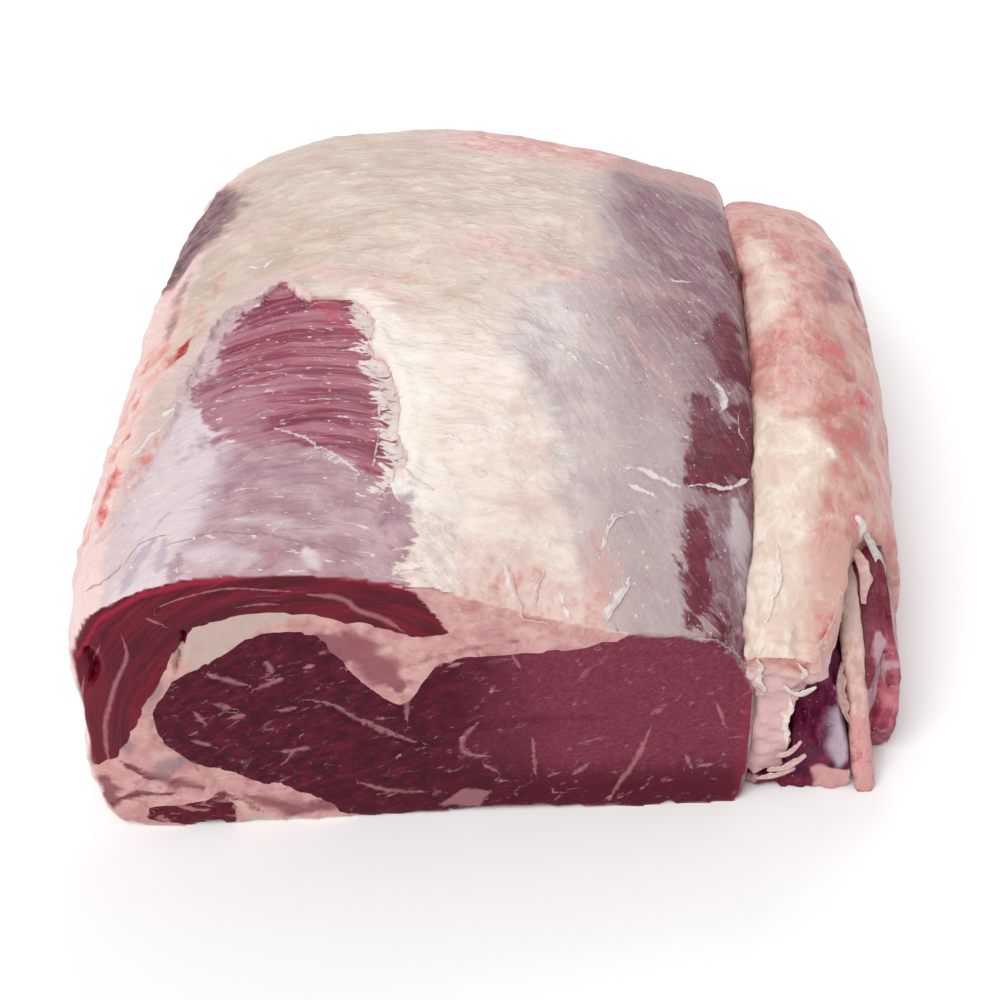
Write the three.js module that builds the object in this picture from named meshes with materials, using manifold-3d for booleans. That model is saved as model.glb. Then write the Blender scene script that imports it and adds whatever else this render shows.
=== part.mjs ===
// A boneless beef entrecote (rib eye roll), raw, in one thick piece with its fat cover and side flap.
// Millimetres, +Z up. +X runs across the cut face to the right and +Y runs along the roll, away from the
// cut face. The muscles, the fat between them and the fat on top are separate solids that lie in each
// other with a hair's gap, and each runs through the whole length of the roll.
import * as THREE from 'three';
import { mergeVertices } from 'three/addons/utils/BufferGeometryUtils.js';
import Module from 'manifold-3d';

const wasm = await Module();
wasm.setup();

// Driving dimensions
const FRONT_Y = -144.7; // where the cut face crosses the middle plane
const FRONT_SKEW = 0.114; // the cut runs a little askew, nearer the viewer on the left
const FRONT_BULGE = 3.4; // and stands out a little along the base, up to this height
const FRONT_BULGE_TOP = 48;
const BACK_Y = 146;
const BACK_SKEW = -0.025;
const CUT_SWELL = 1; // unevenness of both cut faces, and how wide its swells are
const CUT_SPAN = 28;
const GAP = 0.3; // between one layer and the next
const SKIN_FRONT = 1.2; // depth of the fat over the cap muscle, at the cut face and further back
const SKIN_BACK = 4;
const ROWS = 18; // steps along the roll
const BOTTOM_Z = 0;
const SHOULDER_DROP = 32; // the right shoulder's curve ends this far under its top

// Exponents of the section's curves: the shoulder, the curled foot of both flanks, and the slope of the dome
const SHOULDER_BOW = 2.2;
const FOOT_BOW = 2.6;
const DOME_BOW = 1.7;

// Points round each layer's outline
const EYE_SIDES = 58;
const CAP_SIDES = 45;
const CORNER_SIDES = 12;
const FLAP_SIDES = 40;
const SIDE_MUSCLE_SIDES = 26;

// The roll's main section at shares of its length: the widest point on the left, the crown of the top,
// the shoulder where the top turns down on the right, and the right side. bow is the exponent of the
// round left flank, and dip says how far the slope from crown to shoulder is an S instead of a dome.
const STATION_NAMES = [
  'left', 'sideZ', 'crownX', 'crownZ', 'shoulderX', 'shoulderZ', 'right', 'bow', 'dip',
];
const STATIONS = [
  { at: 0.0, values: [-120.5, 52, -54, 99.5, 56, 68.5, 82, 3.4, 1.0] },
  { at: 0.1, values: [-127, 54, -54, 101.5, 66, 75, 86, 3.0, 0.8] },
  { at: 0.45, values: [-133, 54, -48, 102.5, 73, 83, 88, 2.3, 0.3] },
  { at: 0.85, values: [-133, 49, -38, 95, 70, 77, 85, 2.15, 0.1] },
  { at: 1.0, values: [-128, 43, -30, 84, 72, 66.5, 83, 2.0, 0.0] },
];

// Hollows across the underside where the ribs were lifted out. They slant a little and fade out towards
// both flanks, from the flank's edge over this distance.
const RIB_PITCH = 42;
const RIB_WIDTH = 17;
const RIB_DEPTH = 2.2;
const RIB_SLANT = 0.12;
const RIB_START = 7;
const RIB_FADE = 25;

// Small helpers
const lerp = (a, b, s) => a + (b - a) * s;
const clamp = (v, low, high) => Math.min(high, Math.max(low, v));
function smooth(low, high, v) {
  const s = clamp((v - low) / (high - low), 0, 1);
  return s * s * (3 - 2 * s);
}

// Smooth noise from -1 to 1, the same on every run
function corner(i, j, k) {
  const s = Math.sin(i * 127.1 + j * 311.7 + k * 74.7) * 43758.5453;
  return (s - Math.floor(s)) * 2 - 1;
}
function noise(x, y, z) {
  const [i, j, k] = [x, y, z].map(Math.floor);
  const [u, v, w] = [x - i, y - j, z - k].map((f) => f * f * (3 - 2 * f));
  const edge = (b, c) => lerp(corner(i, j + b, k + c), corner(i + 1, j + b, k + c), u);
  return lerp(lerp(edge(0, 0), edge(1, 0), v), lerp(edge(0, 1), edge(1, 1), v), w);
}

const stationCurve = new THREE.CubicInterpolant(
  STATIONS.map((s) => s.at),
  STATIONS.flatMap((s) => s.values),
  STATION_NAMES.length,
);
function stationAt(t) {
  const values = stationCurve.evaluate(clamp(t, 0, 1));
  return Object.fromEntries(STATION_NAMES.map((name, i) => [name, values[i]]));
}

function frontY(x, z) {
  const bulge = FRONT_BULGE * (1 - smooth(0, FRONT_BULGE_TOP, z));
  return FRONT_Y + FRONT_SKEW * x - bulge + CUT_SWELL * noise(x / CUT_SPAN, z / CUT_SPAN, 4.5);
}
function backY(x, z) {
  return BACK_Y + BACK_SKEW * x + CUT_SWELL * noise(x / CUT_SPAN, z / CUT_SPAN, 8.5);
}

// Height of the roll's top over x
function topAt(x, t) {
  const s = stationAt(t);
  if (x < s.crownX) {
    const share = clamp((s.crownX - x) / (s.crownX - s.left), 0, 1);
    return s.sideZ + (s.crownZ - s.sideZ) * (1 - share ** s.bow) ** (1 / s.bow);
  }
  if (x < s.shoulderX) {
    const share = (x - s.crownX) / (s.shoulderX - s.crownX);
    const fall = lerp(share ** DOME_BOW, smooth(0, 1, share), s.dip);
    return lerp(s.crownZ, s.shoulderZ, fall);
  }
  const share = clamp((x - s.shoulderX) / (s.right - s.shoulderX), 0, 1);
  return s.shoulderZ - SHOULDER_DROP * (1 - (1 - share ** SHOULDER_BOW) ** (1 / SHOULDER_BOW));
}

// The roll's section as a ring of [x, z], anticlockwise from the bottom left corner
const BASE_INSET = 14; // the flanks curl under by this much
const BASE_INSET_RIGHT = 5;
function rollOutline(t) {
  const s = stationAt(t);
  const ring = [];
  const cornerZ = s.shoulderZ - SHOULDER_DROP;
  const bottomSteps = 12;
  for (let i = 0; i < bottomSteps; i++) {
    const share = i / bottomSteps;
    ring.push([lerp(s.left + BASE_INSET, s.right - BASE_INSET_RIGHT, share), BOTTOM_Z]);
  }
  quarter(ring, 3, FOOT_BOW, (c, r) => [s.right - BASE_INSET_RIGHT * (1 - r), cornerZ * (1 - c)]);
  quarter(ring, 4, SHOULDER_BOW, (c, r) => [lerp(s.shoulderX, s.right, c), lerp(cornerZ, s.shoulderZ, r)]);
  const slopeSteps = 9;
  for (let i = 0; i < slopeSteps; i++) {
    const x = lerp(s.shoulderX, s.crownX, i / slopeSteps);
    ring.push([x, topAt(x, t)]);
  }
  quarter(ring, 9, s.bow, (c, r) => [lerp(s.crownX, s.left, r), lerp(s.sideZ, s.crownZ, c)]);
  quarter(ring, 4, FOOT_BOW, (c, r) => [s.left + BASE_INSET * (1 - c), s.sideZ * (1 - r)]);
  return ring;
}
// A quarter of a superellipse: c falls from 1 to 0 while r rises from 0 to 1
function quarter(ring, steps, power, place) {
  for (let i = 0; i < steps; i++) {
    const angle = ((i / steps) * Math.PI) / 2;
    ring.push(place(Math.cos(angle) ** (2 / power), Math.sin(angle) ** (2 / power)));
  }
}

// A smooth closed ring of count points through the given [x, z] points, anticlockwise
function smoothRing(points, count) {
  const curve = new THREE.CatmullRomCurve3(
    points.map(([x, z]) => new THREE.Vector3(x, z, 0)),
    true,
    'centripetal',
  );
  const ring = curve.getSpacedPoints(count).slice(0, count);
  if (THREE.ShapeUtils.isClockWise(ring)) ring.reverse();
  return ring.map((p) => [p.x, p.y]);
}

// A ring moved outwards by grow, or inwards where grow is negative
function grown(ring, grow) {
  return ring.map(([x, z], i) => {
    const [xa, za] = ring[(i + ring.length - 1) % ring.length];
    const [xb, zb] = ring[(i + 1) % ring.length];
    const size = Math.hypot(xb - xa, zb - za) || 1;
    const by = typeof grow === 'function' ? grow(x, z) : grow;
    return [x + ((zb - za) / size) * by, z - ((xb - xa) / size) * by];
  });
}

// A solid with a ring of points on each of its rows, and a flat cap on both ends
const BOW = 1e-6;
function loft(rows) {
  const width = rows[0].length;
  const positions = rows.flat(2);
  const index = [];
  for (let row = 0; row + 1 < rows.length; row++) {
    for (let i = 0; i < width; i++) {
      const [a, b] = [row * width + i, row * width + ((i + 1) % width)];
      index.push(a, b + width, b, a, a + width, b + width);
    }
  }
  // A hair's bow keeps points on one straight line from being skipped in the caps
  const flat = (row) => row.map(([x, , z]) => new THREE.Vector2(x - BOW * z * z, z - BOW * x * x));
  const last = (rows.length - 1) * width;
  for (const [a, b, c] of THREE.ShapeUtils.triangulateShape(flat(rows[0]), [])) index.push(a, b, c);
  for (const [a, b, c] of THREE.ShapeUtils.triangulateShape(flat(rows.at(-1)), []))
    index.push(last + a, last + c, last + b);
  const geometry = new THREE.BufferGeometry();
  geometry.setAttribute('position', new THREE.Float32BufferAttribute(positions, 3));
  geometry.setIndex(index);
  return geometry;
}

function solidOf(geometry) {
  const bare = geometry.clone();
  bare.deleteAttribute('normal');
  bare.deleteAttribute('uv');
  const merged = mergeVertices(bare, 1e-4);
  const solid = new wasm.Manifold(
    new wasm.Mesh({
      numProp: 3,
      vertProperties: new Float32Array(merged.attributes.position.array),
      triVerts: new Uint32Array(merged.index.array),
    }),
  );
  if (solid.volume() < 0) throw new Error('a solid is inside out');
  return solid;
}

// A solid along the roll, from its outline at each share t of the length. A solid that cuts or is cut has
// one more row past each end.
const PAST = 0.03;
function run(outline, { past = false, rows = ROWS, front = frontY, back = backY, place } = {}) {
  const shares = Array.from({ length: rows + 1 }, (_, row) => row / rows);
  if (past) shares.unshift(-PAST);
  if (past) shares.push(1 + PAST);
  const rings = shares.map((share) => {
    const t = clamp(share, 0, 1);
    return outline(t).map(([x, z], i) => {
      const point = [x, lerp(front(x, z), back(x, z), share), z];
      return place ? place(point, t, i) : point;
    });
  });
  return solidOf(loft(rings));
}

// The roll's uneven surface: broad swells, none of them below the base
const SWELL = 1.3;
const SWELL_SPAN = 34;
const RIPPLE = 0.45; // share of the finer swells
const RIPPLE_SPAN = 15;
function swell([x, y, z], out) {
  const broad = noise(x / SWELL_SPAN, y / (1.35 * SWELL_SPAN), z / SWELL_SPAN);
  const lift = broad + RIPPLE * noise(x / RIPPLE_SPAN + 7, y / RIPPLE_SPAN, z / RIPPLE_SPAN);
  const [nx, nz] = out;
  return [x + nx * lift * SWELL, y, Math.max(BOTTOM_Z, z + nz * lift * SWELL)];
}
function ribHollow([x, y, z], left, right) {
  if (z > 0.01) return [x, y, z];
  const fromLeft = smooth(RIB_START, RIB_START + RIB_FADE, x - left);
  const across = fromLeft * smooth(RIB_START, RIB_START + RIB_FADE, right - x);
  const along = Math.abs(THREE.MathUtils.euclideanModulo(y + RIB_SLANT * x, RIB_PITCH) - RIB_PITCH / 2);
  const depth = RIB_DEPTH * across * (1 - smooth(0, RIB_WIDTH / 2, along));
  return [x, y, z + depth];
}
function rollSurface(point, t) {
  const s = stationAt(t);
  const [x, , z] = point;
  const side = clamp((x - (s.left + s.right) / 2) / ((s.right - s.left) / 2), -1, 1);
  const out = [side ** 3, clamp(z / s.crownZ, 0, 1)];
  if (z < 0.01) return ribHollow(point, s.left + BASE_INSET, s.right);
  return swell(point, out);
}

// The roll and, a skin's depth inside it, the level that the cap muscle reaches
function skinDepth(t) {
  return lerp(SKIN_FRONT, SKIN_BACK, smooth(0.02, 0.22, t));
}
const roll = run(rollOutline, { place: rollSurface });
const ROOM = 0.5; // kept free round the roll for the pieces beside it
const rollRoom = run((t) => grown(rollOutline(t), ROOM), { past: true, place: rollSurface });
const underSkin = (extra) =>
  run((t) => grown(rollOutline(t), (x, z) => (z > 0.01 ? -skinDepth(t) + extra : 1)), {
    past: true,
    place: (point, t) => (point[2] > 0 ? rollSurface(point, t) : point),
  });

// A layer's outline is drawn at the cut face and follows the roll's width and height along its length
function follow(points, change = (x, v) => [0, v]) {
  const s0 = stationAt(0);
  const inset = 12;
  const relative = points.map(([x, z]) => {
    const over = clamp(x, s0.left + inset, s0.right - inset);
    return [(x - s0.left) / (s0.right - s0.left), z / topAt(over, 0), x];
  });
  return (t) => {
    const s = stationAt(t);
    return relative.map(([u, v, x0]) => {
      const [shift, height] = change(x0, v, t);
      const x = lerp(s.left, s.right, u) + shift;
      return [x, height * topAt(clamp(x, s.left + inset, s.right - inset), t)];
    });
  };
}
// The same layer as a solid, grown by an amount, a little longer than the roll
function layer(outline, count, grow) {
  return run((t) => grown(smoothRing(outline(t), count), grow), { past: true });
}

// Eye muscle: the wide muscle across the lower half, with a notch in its top where a wedge of fat dips in.
// Points past the roll's side, base and right shoulder let it reach the surface there.
const EYE = [
  [-101, 43], [-98, 54], [-91, 60.5], [-82, 65.5], [-72, 74], [-64, 78.3], [-54, 77.5], [-48, 73],
  [-42, 64], [-34, 51.5], [-26.5, 45], [-22, 52], [-19, 61], [-12, 65], [10, 64], [28, 65.5], [46, 71],
  [70, 86], [98, 78], [100, 30], [96, -14], [20, -14], [-42, -14], [-47, 3], [-62, 13], [-76, 20.5],
  [-91, 26.5], [-100, 36],
];
const EYE_RISE = 0.13; // past the cut the fat over its right half gets thinner by this share of the height
const EYE_SHIFT = 14; // and its left end draws in by this much towards the back
const eyeOutline = follow(EYE, (x, v, t) => {
  const rise = EYE_RISE * smooth(0, 0.16, t) * smooth(-12, 26, x);
  const shift = EYE_SHIFT * smooth(0.3, 1, t) * smooth(-40, -100, x);
  return [shift, v + rise];
});
const eyeLayer = (grow) => layer(eyeOutline, EYE_SIDES, grow);
const eye = eyeLayer(0).intersect(roll);

// Cap muscle: the curved band over the eye that wraps down the left flank
const CAP = [
  [-118, 25], [-112, 30], [-104, 45], [-98.5, 57], [-93.5, 66], [-89.5, 75.5], [-83, 81.3], [-71, 83.5],
  [-54, 82.8], [-40, 79.8], [-27, 75.5], [-19, 70], [-8, 75.5], [-11, 88], [-20, 116], [-80, 124],
  [-136, 112], [-142, 66], [-132, 34],
];
const CAP_RISE = 0.05; // its underside rises by this share of the height towards the back
const EYE_ROOM = 1; // the seam between the cap and the eye is at least this wide
const capOutline = follow(CAP, (x, v, t) => {
  return [0, v + CAP_RISE * smooth(0.5, 1, t) * smooth(0.55, 0.8, v)];
});
const capLayer = (grow) => layer(capOutline, CAP_SIDES, grow);
const cap = capLayer(0).intersect(underSkin(0)).intersect(roll).subtract(eyeLayer(EYE_ROOM));

// Corner muscle: a small strip of lean at the lower left edge
const CORNER = [
  [-107, 4], [-107.5, 9], [-102, 12.2], [-92, 9.5], [-84.5, 13.2], [-79, 9], [-76, 1], [-82, -9],
  [-103, -9],
];
const cornerOutline = follow(CORNER);
const cornerLayer = (grow) => layer(cornerOutline, CORNER_SIDES, grow);
const cornerMuscle = cornerLayer(0).intersect(roll);

// The opening in the fat where the cap muscle lies bare, seen from above: the right edge is torn, the left
// edge runs down to the cut face along the flank. [x, y] points.
const WINDOW = [
  [-11, -170], [-22, -140], [-31, -128], [-32, -112], [-27, -98], [-31, -84], [-32, -66], [-37, -50],
  [-45, -40], [-44, -24], [-52, -12], [-68, -10], [-78, 4], [-86, -6], [-97, -10], [-101, -30],
  [-104, -62], [-107, -92], [-112, -118], [-110, -136], [-112, -170],
];
const WINDOW_FLOOR = 40;
const WINDOW_DEPTH = 90;
const TORN_STEP = 4;
const TORN_DEPTH = 2.2;
function windowRing() {
  const points = WINDOW.map(([x, y]) => new THREE.Vector3(x, y, 0));
  const curve = new THREE.CatmullRomCurve3(points, false, 'centripetal');
  const count = Math.round(curve.getLength() / TORN_STEP);
  return curve.getSpacedPoints(count).map((p, i) => {
    const tear = (i % 2 ? 1 : -1) * TORN_DEPTH * Math.abs(noise(i * 0.83, 3.1, 0.5));
    return new THREE.Vector2(p.x + tear, p.y);
  });
}
function windowCut() {
  const shape = new THREE.Shape(windowRing());
  const prism = new THREE.ExtrudeGeometry(shape, { depth: WINDOW_DEPTH, bevelEnabled: false });
  prism.translate(0, 0, WINDOW_FLOOR);
  return solidOf(prism).subtract(underSkin(-GAP));
}

// Fat: the cover on top, the seam between cap and eye with its wedge, and the fat at the lower left
const capRoom = capLayer(GAP).intersect(underSkin(GAP));
const cover = roll
  .subtract(eyeLayer(GAP))
  .subtract(capRoom)
  .subtract(cornerLayer(GAP))
  .subtract(windowCut());

// Right of the roll lies a flap of fat that hangs over the side, a bare inner muscle in a pocket under it,
// an upright strip of membrane and fat, and an outer muscle. All are drawn as sections at a share of the
// length: the line where the flap meets the roll, the flap's height beside it and its reach to the right.
const FLAP = [
  { at: 0.0, values: [78, 62, 122] },
  { at: 0.12, values: [82, 73, 129] },
  { at: 0.45, values: [87, 83, 133.5] },
  { at: 0.85, values: [83, 72, 132] },
  { at: 1.0, values: [81, 57, 127] },
];
const flapCurve = new THREE.CubicInterpolant(
  FLAP.map((f) => f.at),
  FLAP.flatMap((f) => f.values),
  FLAP[0].values.length,
);
function flapAt(t) {
  const [seam, top, reach] = flapCurve.evaluate(clamp(t, 0, 1));
  return { seam, top, reach };
}

const SIDE_LEFT = 79; // the side pieces' own left edge, cut back to the roll's side
const COLUMN_RIGHT = 93; // the fat column between the roll and the pocket
const COLUMN_FOOT = 7;
const FLAP_THICK = 13;
const STRIP_THICK = 5.2;
const FLAP_FOOT = 12; // height at which the flap ends on the outer side
function flapOutline(t) {
  const { seam, top, reach } = flapAt(t);
  const under = top - FLAP_THICK;
  const foot = FLAP_FOOT;
  const skirt = (share) => lerp(foot, top, share);
  return smoothRing(
    [
      [SIDE_LEFT + 1, COLUMN_FOOT + 0.5], [COLUMN_RIGHT - 2.5, COLUMN_FOOT], [COLUMN_RIGHT, 20],
      [COLUMN_RIGHT + 1, under - 12], [COLUMN_RIGHT + 6, under - 3],
      [lerp(COLUMN_RIGHT, reach, 0.5), under - 5], [reach - 12, lerp(foot, under, 0.6)],
      [reach - 8, lerp(foot, under, 0.3)], [reach - 7, foot + 3],
      [reach - 3, foot], [reach, foot + 5], [reach + 0.5, skirt(0.35)], [reach - 3, skirt(0.65)],
      [reach - 13, skirt(0.87)], [lerp(seam, reach, 0.45), top - 1], [seam + 8, top + 1],
      [seam, top - 1], [seam - 4, top - 9], [SIDE_LEFT, top - 24], [SIDE_LEFT, 26],
    ],
    FLAP_SIDES,
  );
}

// The strip leans: its foot stands further right than its head, and both lie further in past the front
const STRIP_FOOT_X = 119;
const STRIP_LEAN = 0.16; // to the left for each millimetre up
const STRIP_DRAW_IN = 10;
const stripX = (z, t) => STRIP_FOOT_X - STRIP_LEAN * z - STRIP_DRAW_IN * smooth(0.08, 0.4, t);
const sideHead = (t) => flapAt(t).top - FLAP_THICK - lerp(1, 9, smooth(0, 0.2, t));

function stripOutline(t) {
  const head = sideHead(t) + 2;
  const steps = 6;
  const left = [];
  const right = [];
  for (let i = 0; i <= steps; i++) {
    const z = lerp(0, head, i / steps);
    const wave = 0.6 * noise(z / 12, t * 9, 2.5);
    right.push([stripX(z, t) + STRIP_THICK / 2 + wave, z]);
    left.unshift([stripX(z, t) - STRIP_THICK / 2 + wave, z]);
  }
  return [...right, ...left];
}

const STRIP_ROOM = 1.3; // between the strip and the muscle on either side of it
function innerOutline(t) {
  const head = sideHead(t) - 1;
  const edge = (z) => stripX(z, t) - STRIP_THICK / 2 - STRIP_ROOM;
  return smoothRing(
    [
      [SIDE_LEFT, BOTTOM_Z], [100, BOTTOM_Z], [edge(0) - 1, BOTTOM_Z], [edge(8), 8],
      [edge(head * 0.5), head * 0.5], [edge(head), head - 2], [(COLUMN_RIGHT + edge(head)) / 2 + 1, head],
      [COLUMN_RIGHT + 3, head - 7], [COLUMN_RIGHT + 2.4, 24], [COLUMN_RIGHT + 0.5, 9],
      [COLUMN_RIGHT - 2.5, 5.6], [SIDE_LEFT + 1, 5.2],
    ],
    SIDE_MUSCLE_SIDES,
  );
}

function outerOutline(t) {
  const { top, reach } = flapAt(t);
  const under = smooth(0.22, 0.34, t); // further back it lies wholly under the flap
  const head = lerp(top - 5, sideHead(t) - 4, under);
  const side = lerp(129.5, reach - 7, under);
  const edge = (z) => stripX(z, t) + STRIP_THICK / 2 + STRIP_ROOM;
  return smoothRing(
    [
      [edge(0) + 0.5, BOTTOM_Z], [side - 3, BOTTOM_Z], [side - 1, 7], [side, head * 0.45],
      [side - 4, head * 0.75], [lerp(edge(head), side, 0.5), head], [edge(head), head - 5],
      [edge(head * 0.5), head * 0.5], [edge(8), 8],
    ],
    SIDE_MUSCLE_SIDES,
  );
}

// The side pieces end at the cut in steps, and lean back as they rise
const flapFront = (x, z) => -133.5 - 8 * smooth(40, 62, z) + 4 * smooth(96, 120, x);
const innerFront = (x, z) => -133 + 11 * smooth(7, 15, z) + 0.12 * z;
const stripFront = (x, z) => -132.5 + 0.36 * z;
const outerFront = (x, z) => -114 - 6 * smooth(0, 18, z) + 36 * smooth(26, 68, z);
const sideBack = (x, z) => backY(x, z) - 1;

// and their front edges are torn
const RAGGED = 2.2;
const TONGUE_RAGGED = 0.9;
function ragged([x, y, z], t, i) {
  const torn = t < 0.001 ? RAGGED * noise(i * 0.9, 4.2, 1.5) : 0;
  const [nx, nz] = [clamp((x - 105) / 25, -1, 1), clamp((z - 20) / 40, 0, 1)];
  const [sx, sy, sz] = swell([x, y, z], [nx, nz]);
  return [sx, sy + torn, Math.max(BOTTOM_Z, sz)];
}

// In front the flap is only a tongue, cut away on its right along this edge. [x, y] points.
const TONGUE = [[98, -160], [100, -140], [107, -118], [111, -96], [118, -82], [132, -74], [150, -72]];
const TONGUE_CORNER = [150, -160];
const TONGUE_STEPS = 30;
const TONGUE_CUT_DEPTH = 130;
function tongueCut(room = 0) {
  const points = TONGUE.map(([x, y]) => new THREE.Vector3(x, y, 0));
  const curve = new THREE.CatmullRomCurve3(points, false);
  const edge = curve.getSpacedPoints(TONGUE_STEPS).map((p, i) => {
    return new THREE.Vector2(p.x + TONGUE_RAGGED * noise(i * 1.3, 9.5, 0), p.y);
  });
  const shape = new THREE.Shape([...edge, new THREE.Vector2(...TONGUE_CORNER)]);
  const prism = new THREE.ExtrudeGeometry(shape, { depth: TONGUE_CUT_DEPTH, bevelEnabled: false });
  prism.translate(room, -room, BOTTOM_Z - 10);
  return solidOf(prism);
}

const SIDE_GAP = 0.35;
const SIDE_ROWS = 12;
const OUTER_SWELL = 1.6;
const sideSwell =
  (reach) =>
  ([x, y, z]) => [x + (z < 1 ? 0 : reach * noise(y / 24, z / 20, x / 40)), y, Math.max(BOTTOM_Z, z)];
const sideOf = (outline, front, place, rows = SIDE_ROWS) => ({
  solid: run(outline, { front, back: sideBack, place, rows }),
  space: run((t) => grown(outline(t), SIDE_GAP), { past: true, front, back: sideBack, place, rows }),
});
const flapRun = sideOf(flapOutline, flapFront, ragged, ROWS);
const stripRun = sideOf(stripOutline, stripFront, sideSwell(0));
const innerRun = sideOf(innerOutline, innerFront, sideSwell(0));
const outerRun = sideOf(outerOutline, outerFront, sideSwell(OUTER_SWELL));

const flap = flapRun.solid.subtract(tongueCut()).subtract(rollRoom);
const flapRoom = flapRun.space.subtract(tongueCut(SIDE_GAP + 0.2));
const strip = stripRun.solid.subtract(flapRoom);
const inner = innerRun.solid.subtract(flapRoom).subtract(stripRun.space).subtract(rollRoom);
const outer = outerRun.solid.subtract(flapRoom).subtract(stripRun.space);

// Keeps a solid's largest body, in case a cut leaves a scrap beside it
function largest(solid) {
  const bodies = solid.decompose().sort((a, b) => b.volume() - a.volume());
  return bodies[0];
}

function meshOf(name, solid, color, roughness) {
  const made = largest(solid).getMesh();
  const stride = made.numProp;
  const count = made.vertProperties.length / stride;
  const positions = new Float32Array(count * 3);
  for (let i = 0; i < count; i++) {
    positions.set(made.vertProperties.subarray(i * stride, i * stride + 3), i * 3);
  }
  const geometry = new THREE.BufferGeometry();
  geometry.setAttribute('position', new THREE.BufferAttribute(positions, 3));
  geometry.setIndex(new THREE.BufferAttribute(new Uint32Array(made.triVerts), 1));
  geometry.computeVertexNormals();
  const mesh = new THREE.Mesh(geometry, new THREE.MeshStandardMaterial({ color, roughness, metalness: 0 }));
  mesh.name = name;
  return mesh;
}

const entrecote = new THREE.Group();
entrecote.add(
  meshOf('eye_muscle', eye, 0x7a2740, 0.45),
  meshOf('cap_muscle', cap, 0x8a2c45, 0.45),
  meshOf('corner_muscle', cornerMuscle, 0x6e2038, 0.45),
  meshOf('fat_cover', cover, 0xe9dccb, 0.4),
  meshOf('side_flap', flap, 0xead0c2, 0.4),
  meshOf('membrane_strip', strip, 0xe2b9ab, 0.4),
  meshOf('inner_side_muscle', inner, 0x4f1a33, 0.35),
  meshOf('outer_side_muscle', outer, 0x7d2a40, 0.4),
);

// The origin is the middle of the base
const box = new THREE.Box3().setFromObject(entrecote);
entrecote.position.set(-(box.min.x + box.max.x) / 2, -(box.min.y + box.max.y) / 2, -box.min.z);

export default entrecote;
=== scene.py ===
import math

import bmesh
import bpy
import numpy as np
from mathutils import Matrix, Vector
from mathutils.bvhtree import BVHTree


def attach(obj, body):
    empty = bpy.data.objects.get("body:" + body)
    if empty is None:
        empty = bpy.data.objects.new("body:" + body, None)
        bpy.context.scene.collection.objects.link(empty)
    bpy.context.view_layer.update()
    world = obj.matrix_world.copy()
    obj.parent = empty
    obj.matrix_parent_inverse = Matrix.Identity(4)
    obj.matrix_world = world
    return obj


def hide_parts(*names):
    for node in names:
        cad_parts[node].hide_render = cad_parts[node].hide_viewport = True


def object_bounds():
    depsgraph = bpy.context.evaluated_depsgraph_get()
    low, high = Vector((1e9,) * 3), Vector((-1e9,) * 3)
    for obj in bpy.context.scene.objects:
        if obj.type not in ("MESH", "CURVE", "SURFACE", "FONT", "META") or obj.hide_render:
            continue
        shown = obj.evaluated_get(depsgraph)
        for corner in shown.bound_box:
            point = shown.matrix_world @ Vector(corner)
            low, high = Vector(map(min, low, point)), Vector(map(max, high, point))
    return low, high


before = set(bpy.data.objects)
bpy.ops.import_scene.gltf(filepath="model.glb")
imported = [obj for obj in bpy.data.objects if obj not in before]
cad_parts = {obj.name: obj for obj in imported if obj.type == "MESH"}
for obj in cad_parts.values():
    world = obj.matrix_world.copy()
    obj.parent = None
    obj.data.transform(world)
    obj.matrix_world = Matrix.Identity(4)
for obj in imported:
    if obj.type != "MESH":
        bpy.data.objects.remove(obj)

MM = 0.001
cad_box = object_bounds()


# The roll: the eye, cap and corner muscles with the fat round them, one body of meat that was boned out and
# trimmed by hand. Its skin is one even surface, made from the CAD nodes together, which the pieces then
# share, so that muscle and fat meet without a step.
ROLL_NODES = ("eye_muscle", "cap_muscle", "corner_muscle", "fat_cover")
SKIN_CELL = 1.25 * MM
CLOSE_GAPS = 0.35  # mm that the nodes grow by, which closes the gaps between them, and shrink back by later
FIRST_ROUNDS = 30  # of smoothing, which spare the rims
LAST_ROUNDS = 2  # of smoothing all over
WINDOW = [  # the opening in the fat where the cap muscle lies bare, in plan, from its tip clockwise
    (-77, 10), (-66, -9), (-53, -7), (-45, -18), (-45, -34), (-38, -45), (-33, -60), (-32, -78),
    (-28, -92), (-33, -106), (-31, -122), (-22, -136), (-11, -165), (-112, -165), (-111, -130),
    (-113, -112), (-108, -86), (-105, -56), (-102, -24), (-98, -4), (-87, 0),
]


def add_node(bm, name, grow=0.0):
    """Adds a merged copy of a CAD node to bm, grown along its normals by a distance in mm."""
    part = bmesh.new()
    part.from_mesh(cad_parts[name].data)
    bmesh.ops.remove_doubles(part, verts=part.verts, dist=2e-6)
    part.normal_update()
    for v in part.verts:
        v.co += v.normal * grow * MM
    mesh = bpy.data.meshes.new(name)
    part.to_mesh(mesh)
    part.free()
    bm.from_mesh(mesh)
    bpy.data.meshes.remove(mesh)


def new_piece(name, bm):
    mesh = bpy.data.meshes.new(name)
    bm.to_mesh(mesh)
    bm.free()
    piece = bpy.data.objects.new(name, mesh)
    bpy.context.scene.collection.objects.link(piece)
    return piece


def settle(piece):
    """Applies a piece's modifiers to its mesh."""
    bpy.context.view_layer.update()
    done = bpy.data.meshes.new_from_object(piece.evaluated_get(bpy.context.evaluated_depsgraph_get()))
    old = piece.data
    piece.modifiers.clear()
    piece.data = done
    bpy.data.meshes.remove(old)


def even_skin(piece, cell):
    """Gives a piece one closed surface of even cells."""
    remesh = piece.modifiers.new("even skin", "REMESH")
    remesh.mode = "VOXEL"
    remesh.voxel_size = cell
    settle(piece)


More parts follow.
